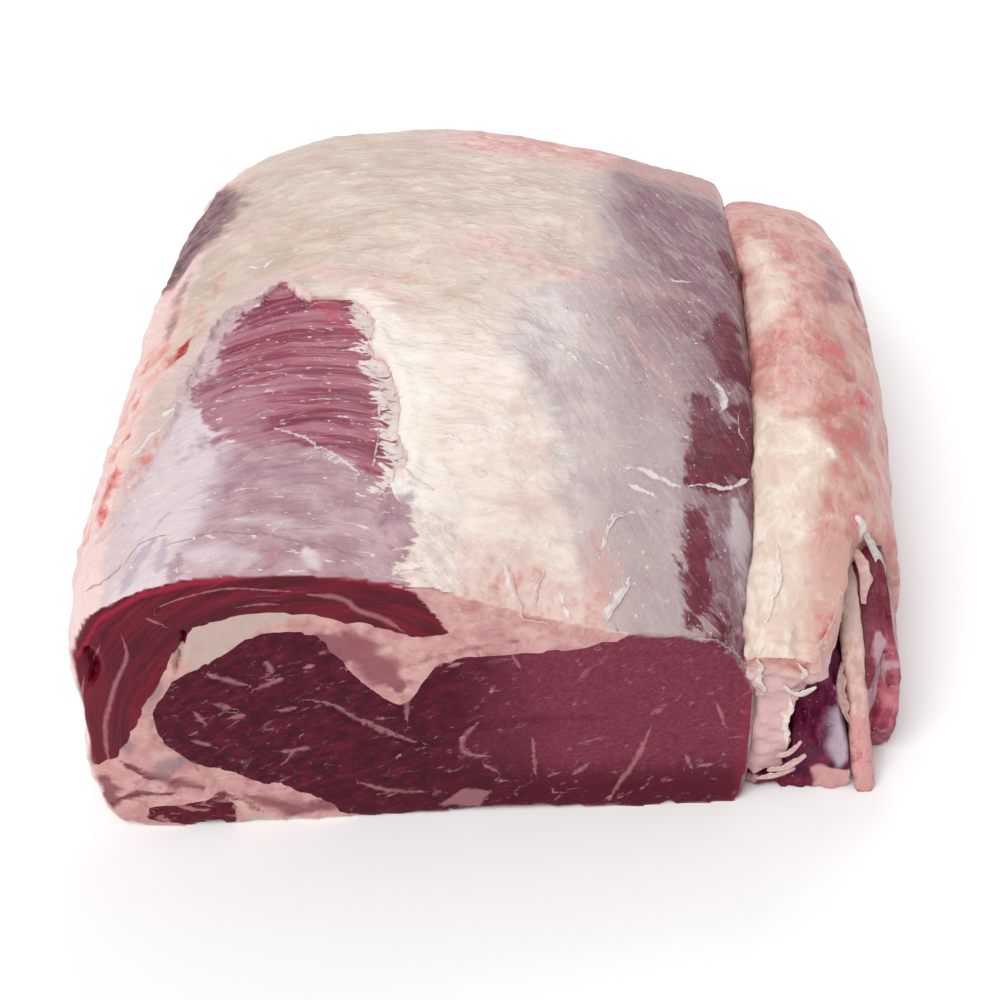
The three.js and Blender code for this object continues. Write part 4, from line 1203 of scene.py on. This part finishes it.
# The corner strip: a thin piece of dark, well marbled lean at the lower left edge.
points, outward = carve(corner)
x, y, z = points.T
paint(corner, "corner", np.maximum(ramp(-84, -74, x), 0.45 * ramp(9, 13, z)))
dark = Finish("corner_meat", roughness=0.38, gloss=0.16, through=0.06)
mottle = dark.grain(3, detail=4)
streaks = dark.rise(dark.grain(5.5, by=(0.6, 0.4, 1.4), detail=5, rough=0.65, bend=1.0), 0.55, 0.63)
frayed = dark.grain(6, detail=5, rough=0.7)
meat = dark.coats(
    (72, 2, 24),
    ((106, 18, 40), mottle, 0.3, 0.7),
    ((186, 126, 126), dark.times(streaks, 0.75)),
    ((206, 156, 150), dark.layers("corner")[0], 0.35, 0.65, 0.95, frayed, 1.8),
)
corner_meat = dark.finish(meat, mottle, 0.4)
hand_in(corner, "corner_meat", corner_meat, "corner_muscle")


# The flap of side fat, a thick tongue that was parted from the roll by hand and hangs from its right side.
# Its fat is firm, cream by the crack and pink with blood outside, with a ragged torn end at the front.
SIDE_CELL = 1.1 * MM
SIDE_SHRINK = 0.5  # mm that a side piece draws in, which leaves room for its swells
BACK_FILL = 6.0  # mm more at the back, where the flap grows out of the roll
COLUMN_FILL = 2.6  # mm that the torn column at the front leans towards the eye
CRACK_FILL = 2.2  # mm that the flap leans towards the roll, so that the crack is narrow
RAGGED_END = -121.0  # mm along the roll, where the flap's torn end begins
FLAP_CREAM = [(84, -24), (92, -36), (102, -42), (107, -52), (104, -66), (99, -80), (98, -98), (100, -112),
              (98, -124), (94, -138), (72, -138), (74, -110), (76, -80), (78, -40)]
FLAP_CREAM_BACK = [(84, 20), (92, 16), (98, 30), (97, 60), (92, 82), (86, 84)]
FLAP_BLOOD = (
    ([(118, -18, 74), (122, -12, 70), (127, -5, 64)], 5.0, 1.0),
    ([(106, -30, 80), (112, -22, 78), (118, -18, 74)], 4.0, 0.6),
    ([(108, -52, 80), (112, -46, 78), (115, -38, 76)], 3.5, 0.6),
    ([(122, -40, 68), (125, -51, 63), (124, -60, 62)], 4.0, 0.65),
    ([(114, -70, 74), (112, -84, 72), (112, -96, 68)], 3.0, 0.6),
    ([(108, 4, 80), (112, 6, 78), (116, 10, 76)], 3.5, 0.65),
    ([(120, 30, 74), (124, 44, 70)], 5.0, 0.5),
    ([(103, 33, 83), (108, 36, 82), (110, 44, 81)], 3.0, 0.45),
    ([(106, 60, 80), (110, 64, 79)], 2.5, 0.7),
    ([(98, -118, 70), (101, -122, 66), (98, -128, 63)], 3.5, 0.55),
    ([(96, 130, 66), (104, 128, 64), (112, 122, 66)], 7.0, 0.5),
)
FLAP_DARK = (([(110, 84), (118, 94), (124, 78), (119, 44), (110, 42)], 0.9),)
FLAP_STRIP = (([(124, 84, 66), (127, 66, 62), (127, 52, 60), (125, 44, 64)], 3.2, 1.0),)
FLAP_WHITE = (
    ([(113, -78, 72), (118, -82, 64), (122, -80, 58)], 3.0, 1.0),
    ([(104, -52, 81), (106, -58, 80)], 1.5, 0.8),
)
COLUMN_ORANGE = (([(84, -128, 40), (83, -128, 32), (85, -128, 28)], 3.2, 1.0),)
FLAP_FOLDS = (
    ([(86, -41, 80), (96, -38, 83), (106, -34, 81), (118, -24, 74)], 1.4, 1.3),
    ([(84, -101, 74), (92, -103, 76), (102, -100, 75)], 0.9, 0.7),
    ([(112, -58, 78), (117, -70, 72), (116, -90, 66)], 1.3, 1.0),
    ([(92, -112, 72), (100, -108, 73), (108, -103, 66)], 1.0, 0.7),
    ([(108, -10, 80), (118, -4, 74), (128, 4, 62)], 1.6, 1.2),
    ([(90, -50, 80), (96, -52, 82), (101, -58, 81)], 0.8, 0.6),
    ([(98, 60, 84), (106, 52, 82), (118, 40, 75)], 1.6, 1.0),
    ([(114, 100, 74), (120, 84, 72), (122, 60, 70)], 1.6, 1.2),
)


def side_piece(node, name, rounds, swells, folds=(), grow=0.0, lean=0.0):
    """Makes a side piece from its CAD node, and returns it with its points and outward directions."""
    bm = bmesh.new()
    add_node(bm, node)
    piece = new_piece(name, bm)
    even_skin(piece, SIDE_CELL)
    keep_largest(piece)
    smooth_piece(piece, rounds)
    points, outward = points_of(piece), normals_of(piece)
    lift = np.full(len(points), grow - SIDE_SHRINK)
    for number, (span, height) in enumerate(swells):
        lift += height * wobble(points, span, 40 + number)
    x, y, z = points.T
    fill = (CRACK_FILL + BACK_FILL * ramp(70, 130, y)) * ramp(102, 82, x) * ramp(52, 66, z)
    fill += COLUMN_FILL * ramp(94, 84, x) * ramp(60, 52, z) * ramp(-104, -118, y)
    fill += lean * ramp(0.1, 0.5, -outward[:, 0])
    ragged = ramp(0, 6, RAGGED_END - points[:, 1])
    lift += ragged * (1.3 * wobble(points, 3.6, 44) + 0.8 * wobble(points, 1.9, 45))
    for line, half_width, depth in folds:
        distance, _, share = from_line(points, line)
        lift -= depth * groove(distance + 0.7 * wobble(points, 4, 46), share, half_width)
    move_points(piece, in_box(points + outward * lift[:, None] - np.outer(fill, (1, 0, 0))))
    piece.data.shade_smooth()
    return piece, points, outward


flap, points, outward = side_piece(
    "side_flap", "flap_of_side_fat", 8, ((15, 0.9), (8, 0.7), (3.4, 0.2)), FLAP_FOLDS
)
x, y, z = points.T
plan = points[:, :2]
creamy = np.maximum(patches(plan, [(FLAP_CREAM, 1.0)], 7), patches(plan, [(FLAP_CREAM_BACK, 0.8)], 7))
creamy *= ramp(0.1, 0.4, outward[:, 2])
blood = np.maximum(stains(points, FLAP_BLOOD), 0.3 * ramp(110, 126, x))
darkened = np.maximum(patches(plan, FLAP_DARK, 8) * ramp(0.0, 0.3, outward[:, 2]), stains(points, FLAP_STRIP))
white = stains(points, FLAP_WHITE)
orange = stains(points, COLUMN_ORANGE)
# Tan in the first fold and on the flap's wall along the crack: partly the torn fat's colour, partly painted
# shade.
brown_and_shade = stains(points, [([(86, -41, 80), (96, -38, 83), (106, -34, 81)], 1.0, 0.5)])
brown_and_shade = np.maximum(brown_and_shade, 0.6 * ramp(-0.5, -0.9, outward[:, 0]) * ramp(50, 64, z))
paint(flap, "flap", creamy, blood, darkened, white)
paint(flap, "flap_more", orange, brown_and_shade, stains(points, FLAP_STRIP), ramp(112, 140, y))
paint(flap, "flap_front", ramp(62, 50, z) * ramp(-112, -122, y), ramp(48, 8, z) * ramp(112, 124, x),
      ramp(-74, -104, y) * ramp(88, 102, x))

side = Finish("flap_fat", roughness=0.36, gloss=0.35, through=0.1)
cream_layer, blood_layer, dark_layer, white_layer = side.layers("flap")
orange_layer, brown_and_shade_layer, strip_layer, back_layer = side.layers("flap_more")
column_layer, low_layer, end_layer = side.layers("flap_front")[:3]
mottle = side.grain(6, detail=5, rough=0.62)
cloud = side.grain(13, detail=5)
fray = side.grain(2.6, detail=4)
folds = side.grain(6, by=(1, 0.6, 1), detail=3, rough=0.5, bend=0.7)
lumps = side.grain(4.4, by=(1, 0.7, 1), detail=3, bend=0.7)
painted_glints = side.painted_glints(0.68, 0.74)
broad = side.grain(36, by=(1, 0.6, 1), detail=4)
strokes = side.grain(6, by=(1, 0.2, 0.8), detail=5, bend=0.6)
hide = side.coats(
    (198, 126, 120),
    ((212, 164, 154), cloud, 0.38, 0.62),
    ((232, 200, 190), mottle, 0.54, 0.72, 0.55),
    ((208, 112, 106), side.less(folds), 0.5, 0.7, 0.6),
    ((226, 186, 174), broad, 0.48, 0.64, 0.65, mottle, 0.4),
    ((230, 196, 184), strokes, 0.54, 0.7, 0.45),
    ((184, 88, 88), side.less(strokes), 0.54, 0.7, 0.4),
    ((176, 84, 92), low_layer, 0.3, 1.0, 0.65, broad, 1.6),
    ((227, 205, 190), cream_layer, 0.15, 0.85, 0.92, cloud, 1.2),
    ((242, 230, 217), side.times(cream_layer, folds), 0.42, 0.66, 0.75),
    ((210, 182, 164), side.times(cream_layer, side.less(lumps)), 0.5, 0.7, 0.35),
    ((216, 172, 162), end_layer, 0.1, 0.8, 0.8, mottle, 1.2),
    ((214, 112, 112), blood_layer, 0.15, 0.8, 0.9, fray, 1.6),
    ((198, 48, 62), blood_layer, 0.7, 1.05, 0.85, fray, 1.0),
    ((204, 128, 118), back_layer, 0.2, 1.0, 0.6, mottle, 1.4),
    ((150, 98, 112), dark_layer, 0.3, 0.9, 0.7, mottle, 2.2),
    ((132, 24, 44), strip_layer, 0.3, 0.8, 0.9, fray, 0.9),
    ((222, 134, 108), orange_layer, 0.3, 1.0, 0.6, mottle, 0.8),
    ((222, 186, 184), column_layer, 0.2, 0.8, 0.85, mottle, 1.4),
    # Tan with painted shade in the fold and on the wall along the crack.
    ((150, 104, 82), brown_and_shade_layer, 0.4, 0.9, 0.8, fray, 0.8),
    ((244, 234, 230), white_layer, 0.3, 0.7, 0.9, fray, 1.0),
    ((246, 238, 232), lumps, 0.6, 0.78, 0.3),
    # Painted highlights on the wet flap.
    ((250, 244, 240), side.times(painted_glints, 0.2)),
)
flap_fat = side.finish(hide, side.add(side.swing(folds, 0.9), side.swing(lumps, 0.3)), 1.2)
hand_in(flap, "flap_fat", flap_fat, "side_flap")


# The strip of membrane: a thin upright lath of connective tissue and fat between the flap and the outer
# muscle, cream above and pink with shreds of lean below, on a small pink foot.
strip, points, outward = side_piece("membrane_strip", "strip_of_membrane", 5,
                                    ((9, 0.3), (4, 0.25), (2, 0.12)), grow=1.4)
x, y, z = points.T
# The last layer is a tan line where the strip has a curled slit, which its mesh does not cut: painted shade.
paint(strip, "strip", ramp(46, 52, z), ramp(34, 18, z + 4 * wobble(points, 6, 51)), ramp(8, 4, z),
      stains(points, [([(114, -108, 18), (114, -115, 12), (115, -123, 9)], 1.6, 1.0)]))
lath = Finish("strip_membrane", roughness=0.4, gloss=0.35, through=0.1)
upper_layer, low_layer, foot_layer, slit_shade_layer = lath.layers("strip")
mottle = lath.grain(4, detail=5, rough=0.6)
run = lath.grain(2, by=(1, 1, 0.25), detail=4)
shreds = lath.grain(2.6, by=(1, 1, 0.5), detail=4, bend=0.8)
strip_tone = lath.coats(
    (214, 168, 160),
    ((234, 200, 190), run, 0.35, 0.65),
    ((228, 200, 190), upper_layer, 0.2, 0.8, 0.7, mottle),
    ((214, 152, 150), low_layer, 0.2, 0.8, 0.85, shreds, 0.8),
    ((190, 84, 92), lath.times(low_layer, shreds), 0.5, 0.62, 0.75),
    ((212, 156, 154), foot_layer, 0.2, 0.8, 0.8, mottle),
    # Painted shade of the curled slit.
    ((168, 112, 96), slit_shade_layer, 0.4, 0.9, 0.9),
)
strip_membrane = lath.finish(strip_tone, lath.add(run, lath.times(shreds, 0.7)), 0.6)
hand_in(strip, "strip_membrane", strip_membrane, "membrane_strip")


# The two side muscles under the flap. The inner one is dark purple in the pocket at the front, with a
# bluish-white membrane by the strip and a pink foot of fat. The outer one is redder and lobed, and greyer
# where its own membrane covers it, partly the membrane's colour and partly a painted sheen.
def lean_tone(finish, dark_tone, light_tone, streak_tone, up=0.3):
    """The colour and the height of wet lean that is streaked along the roll, with painted highlights."""
    mottle = finish.grain(5, detail=5, rough=0.6)
    streaks = finish.grain(4, by=(1, 0.2, up), detail=5, bend=0.8)
    meat = finish.coats(
        dark_tone,
        (light_tone, mottle, 0.34, 0.68),
        (streak_tone, streaks, 0.54, 0.68, 0.65),
        # Painted highlights on the wet lean.
        ((226, 200, 206), finish.times(finish.painted_glints(0.68, 0.73), 0.4)),
    )
    return meat, finish.add(mottle, finish.times(streaks, 0.6)), mottle


inner, points, outward = side_piece(
    "inner_side_muscle", "inner_side_muscle_lean", 5, ((12, 0.5), (5, 0.35), (2.4, 0.15))
)
x, y, z = points.T
fore = ramp(-96, -104, y)
bluish = stains(points, [([(108, -121, 30), (109, -121, 18), (110, -123, 8)], 4.6, 1.0)]) * fore
footed = ramp(100, 105, x + 2 * wobble(points, 5, 53)) * ramp(9, 6.5, z + wobble(points, 4, 54)) * fore
pale = stains(points, [([(84, -127, 8), (90, -127, 8), (96, -124, 10)], 2.6, 0.9),
                       ([(80, -127, 3), (86, -127, 5)], 2.5, 0.8),
                       ([(97, -124, 46), (104, -118, 38), (108, -114, 31)], 1.3, 0.8),
                       ([(102, -118, 52), (106, -116, 50)], 1.6, 0.6),
                       ([(108, -114, 32), (112, -116, 26), (113, -120, 20)], 3.2, 1.0)])
paint(inner, "inner", bluish, footed, pale, ramp(5, 2, z))
pocket = Finish("inner_meat", roughness=0.34, gloss=0.18, through=0.05)
bluish_layer, foot_layer, pale_layer, low_layer = pocket.layers("inner")
meat, height, mottle = lean_tone(pocket, (78, 6, 46), (116, 22, 66), (142, 74, 100))
meat = pocket.coats(
    meat,
    ((112, 18, 44), low_layer, 0.2, 0.8, 0.8, mottle),
    ((204, 156, 158), pale_layer, 0.3, 0.8, 0.9, mottle, 1.0),
    ((194, 174, 190), bluish_layer, 0.05, 0.95, 0.92, mottle, 0.7),
    ((212, 160, 158), foot_layer, 0.3, 0.7, 0.95, mottle, 0.6),
)
inner_meat = pocket.finish(meat, height, 1.2)
hand_in(inner, "inner_meat", inner_meat, "inner_side_muscle")

outer, points, outward = side_piece(
    "outer_side_muscle", "outer_side_muscle_lean", 5, ((13, 0.7), (6, 0.4), (2.6, 0.2)),
    (([(124, -96, 47), (122, -108, 32), (121, -112, 18)], 1.4, 1.2),
     ([(120, -86, 60), (124, -96, 47)], 1.6, 1.2)),
    lean=4.5,
)
x, y, z = points.T
# Greyer where the muscle's own membrane covers it: partly the membrane's colour and partly a painted sheen.
sheen = stains(points, [([(120, -101, 44), (122, -108, 32), (119, -112, 20)], 3.4, 1.0),
                        ([(126, -104, 38), (127, -108, 28)], 1.2, 0.7)])
rosy = stains(points, [([(127, -80, 50), (129, -100, 36), (128, -112, 22)], 6, 0.9)])
# Darker red under the flap and towards the strip: painted shade.
under_flap_shade = np.maximum(ramp(-6, 6, 118 - x) * ramp(58, 40, z), ramp(38, 50, z))
paint(outer, "outer", sheen, np.maximum(rosy, 0.35 * ramp(120, 128, x)), under_flap_shade)
lobed = Finish("outer_meat", roughness=0.34, gloss=0.3, through=0.08)
sheen_layer, rosy_layer, under_flap_shade_layer = lobed.layers("outer")[:3]
meat, height, mottle = lean_tone(lobed, (136, 44, 64), (174, 82, 100), (204, 142, 150), 0.5)
meat = lobed.coats(
    meat,
    # Painted shade under the flap and towards the strip.
    ((104, 16, 40), under_flap_shade_layer, 0.2, 0.9, 0.75, mottle),
    ((216, 136, 144), rosy_layer, 0.3, 1.0, 0.8, mottle, 1.0),
    ((200, 166, 178), sheen_layer, 0.25, 0.75, 0.85, mottle, 0.7),
)
outer_meat = lobed.finish(meat, height, 1.2)
hand_in(outer, "outer_meat", outer_meat, "outer_side_muscle")


# Shreds and curls of fat and membrane, left standing where the knife and the hand tore the skin: thin
# tapering ribbons that lie on the meat and curl up along one edge.
STEPS = 26
SHEET_CELLS = 5
SKIN_CURLS = (  # points on the roll, width and curl in mm, and the colour
    ("curl_on_the_silverskin", [(43, -91, 81), (36, -94, 82), (33, -101, 82), (32, -111, 80)], 2.0, 0.6,
     "pale"),
    ("curl_at_the_front_edge", [(40, -116, 76), (38, -122, 75), (35, -127, 74), (32, -134, 72)], 2.6, 0.9,
     "pale"),
    ("long_shred_at_the_front", [(3, -122, 86), (5, -131, 83), (9, -138, 78), (18, -140, 75)], 2.4, 0.8,
     "rosy"),
    ("short_shred_at_the_front", [(15, -120, 83), (12, -128, 81), (12, -137, 77)], 1.8, 0.7, "rosy"),
    ("rim_curl_of_the_window", [(-38, -90, 97), (-32, -97, 98), (-27, -102, 98), (-19, -103, 97)], 5.0, 1.4,
     "cream"),
    ("torn_flap_of_membrane", [(66, -20, 83), (70, -26, 82), (71, -32, 81), (68, -38, 81)], 3.2, 0.6, "pale"),
)
FLAP_CURLS = (  # the same on the flap
    ("sliver_in_the_crack", [(84, -92, 76), (85, -104, 73), (83, -115, 69), (80, -125, 64)], 3.6, 0.8,
     "cream"),
    ("torn_end_left", [(79, -131, 66), (79, -133, 58), (80, -133, 50), (81, -131, 40)], 3.0, 0.6, "cream"),
    ("torn_end_right", [(90, -132, 62), (92, -134, 57), (93, -133, 51)], 3.0, 0.7, "cream"),
    ("torn_side_of_the_end", [(96, -131, 62), (99, -129, 64), (103, -122, 66), (106, -112, 68)], 3.2, 0.8,
     "rosy"),
    ("edge_of_the_column", [(91, -129, 42), (90, -130, 30), (91, -129, 18)], 3.4, 0.9, "cream"),
)
FREE_CURLS = (  # points beside the other pieces, the way out there, and the same measures
    ("shred_over_the_pocket", [(88, -131, 48), (93, -131, 45), (98, -130, 47)], (0, -1, 0), 2.8, 0.7,
     "cream"),
    ("ledge_shred_upper", [(88, -130, 17), (92, -130, 19), (96, -128, 22)], (0, -1, 0.6), 2.0, 0.8, "rosy"),
    ("ledge_shred_middle", [(86, -131, 12), (92, -130, 13), (98, -128, 16)], (0, -1, 0.5), 2.4, 0.9, "rosy"),
    ("ledge_shred_lower", [(83, -131, 8), (89, -130, 9), (95, -129, 11)], (0, -1, 0.4), 2.0, 0.7, "rosy"),
    ("curl_under_the_flap", [(112, -83, 63), (115, -88, 58), (115, -95, 51)], (0.3, -0.8, 0.3), 3.4, 1.0,
     "rosy"),
    ("shreds_on_the_lath", [(108, -112, 41), (108, -115, 34), (110, -117, 26), (113, -119, 20)],
     (-0.4, -1, 0.2), 3.4, 0.9, "rosy"),
    ("flake_beside_the_flap", [(115, -76, 66), (120, -80, 58), (123, -82, 52)], (0.8, -0.4, 0.4), 3.4, 0.7,
     "pale"),
)
SHEET = 0.5  # mm that a shred is thick
ROOT = 0.5  # mm that its fixed edge lies under the surface


def along_curve(spine, steps):
    """Evenly spaced places and directions on a smooth curve through the spine's points."""
    spine = np.array(spine, float)
    ends = np.vstack([2 * spine[0] - spine[1], spine, 2 * spine[-1] - spine[-2]])
    places = []
    for t in np.linspace(0, len(spine) - 1, steps):
        i = min(int(t), len(spine) - 2)
        s = t - i
        a, b, c, d = ends[i : i + 4]
        place = 2 * b + (c - a) * s + (2 * a - 5 * b + 4 * c - d) * s**2 + (3 * b - a - 3 * c + d) * s**3
        places.append(place / 2)
    places = np.array(places)
    run = np.gradient(places, axis=0)
    return places, run / np.linalg.norm(run, axis=1)[:, None]


def shred(name, places, run, out, width, curl):
    """A closed torn sheet along places, with one edge rooted in the meat and the ragged other curled up."""
    across = np.cross(out, run)
    across /= np.linalg.norm(across, axis=1)[:, None]
    taper = np.sin(np.pi * np.linspace(0.06, 0.94, len(places))) ** 0.6
    torn = 1 + 0.3 * wobble(places, 3.4, 61) + 0.2 * wobble(places, 1.4, 62)
    bm = bmesh.new()
    bmesh.ops.create_grid(bm, x_segments=len(places) - 1, y_segments=SHEET_CELLS, size=0.5)
    for v in bm.verts:
        i = round((v.co.x + 0.5) * (len(places) - 1))
        reach = v.co.y + 0.5
        side = width * taper[i] * (reach * torn[i] - 0.5)
        up = (curl + ROOT) * taper[i] * reach**1.6 - ROOT
        v.co = Vector(places[i] + across[i] * side + out[i] * up) * MM
    bmesh.ops.solidify(bm, geom=bm.faces[:], thickness=SHEET * MM)
    for v in bm.verts:
        v.co = Vector(in_box(np.array(v.co) / MM)) * MM
    bmesh.ops.recalc_face_normals(bm, faces=bm.faces)
    piece = new_piece(name, bm)
    piece.data.shade_smooth()
    return piece


tissue = {}
for key, (low, high) in {
    "pale": ((200, 186, 184), (228, 218, 212)),
    "cream": ((232, 208, 200), (248, 234, 226)),
    "rosy": ((216, 170, 166), (232, 198, 190)),
}.items():
    stuff = Finish("shred_" + key, roughness=0.4, gloss=0.35, through=0.15)
    run = stuff.grain(1.6, detail=4)
    tissue[key] = stuff.finish(stuff.coat(low, high, run, 0.35, 0.68), run, 0.3)

flap_skin = Skin(flap)
for under, curls, slot in ((skin, SKIN_CURLS, "cover_fat"), (flap_skin, FLAP_CURLS, "flap_fat")):
    for name, spine, width, curl, key in curls:
        places, run = along_curve(spine, STEPS)
        depth, out = under.find(places)
        lift = roll_relief(places, out) if under is skin else 0
        piece = shred(name, places + out * (depth + lift)[:, None], run, out, width, curl)
        hand_in(piece, slot, tissue[key])
for name, spine, way, width, curl, key in FREE_CURLS:
    places, run = along_curve(spine, STEPS)
    out = np.tile(np.array(way, float) / np.linalg.norm(way), (STEPS, 1))
    piece = shred(name, places, run, out, width, curl)
    hand_in(piece, "flap_fat", tissue[key])


# The table, the light and the camera: a plain pale floor, a plain soft studio light from above and a camera
# that looks down on the cut face as the photographer did.
TABLE_SIZE = 6.0  # metres
LENS, SENSOR = 72, 36  # mm
CAMERA_PLACE = (25.5, -576.6, 464.4)  # mm
CAMERA_TURN = (52, 0, 3)  # degrees
SKY = 0.6
PALE_FLOOR = {6: (0.94, 0.94, 0.94), 7: (0.96, 0.96, 0.96)}  # as light, not as it looks on a screen
LAMPS = (("overhead", 64, 1.9, (-0.9, -1.9, 2.4)), ("behind", 18, 1.3, (0.2, 1.9, 1.6)))  # watts, size, place
table_mesh = bmesh.new()
bmesh.ops.create_grid(table_mesh, x_segments=1, y_segments=1, size=TABLE_SIZE / 2)
table = new_piece("table", table_mesh)
board = Finish("table_top", roughness=0.8, gloss=0.2, through=0.0)
pale = board.put("ShaderNodeMix", {0: board.grain(900), **PALE_FLOOR}, out=2, data_type="RGBA")
table.data.materials.append(board.finish(pale))

camera_data = bpy.data.cameras.new("camera")
camera_data.lens = LENS
camera_data.sensor_width = SENSOR
camera = bpy.data.objects.new("camera", camera_data)
bpy.context.scene.collection.objects.link(camera)
camera.location = Vector(CAMERA_PLACE) * MM
camera.rotation_euler = [math.radians(angle) for angle in CAMERA_TURN]
bpy.context.scene.camera = camera

sky = bpy.data.worlds.new("studio")
sky.use_nodes = True
sky.node_tree.nodes["Background"].inputs["Color"].default_value = (1.0, 1.0, 1.0, 1)
sky.node_tree.nodes["Background"].inputs["Strength"].default_value = SKY
bpy.context.scene.world = sky
for name, watts, size, place in LAMPS:
    lamp_data = bpy.data.lights.new(name, "AREA")
    lamp_data.energy = watts
    lamp_data.size = size
    lamp = bpy.data.objects.new(name, lamp_data)
    bpy.context.scene.collection.objects.link(lamp)
    lamp.location = place
    lamp.rotation_euler = (-Vector(place)).to_track_quat("-Z", "Y").to_euler()
bpy.context.scene.view_settings.view_transform = "Standard"
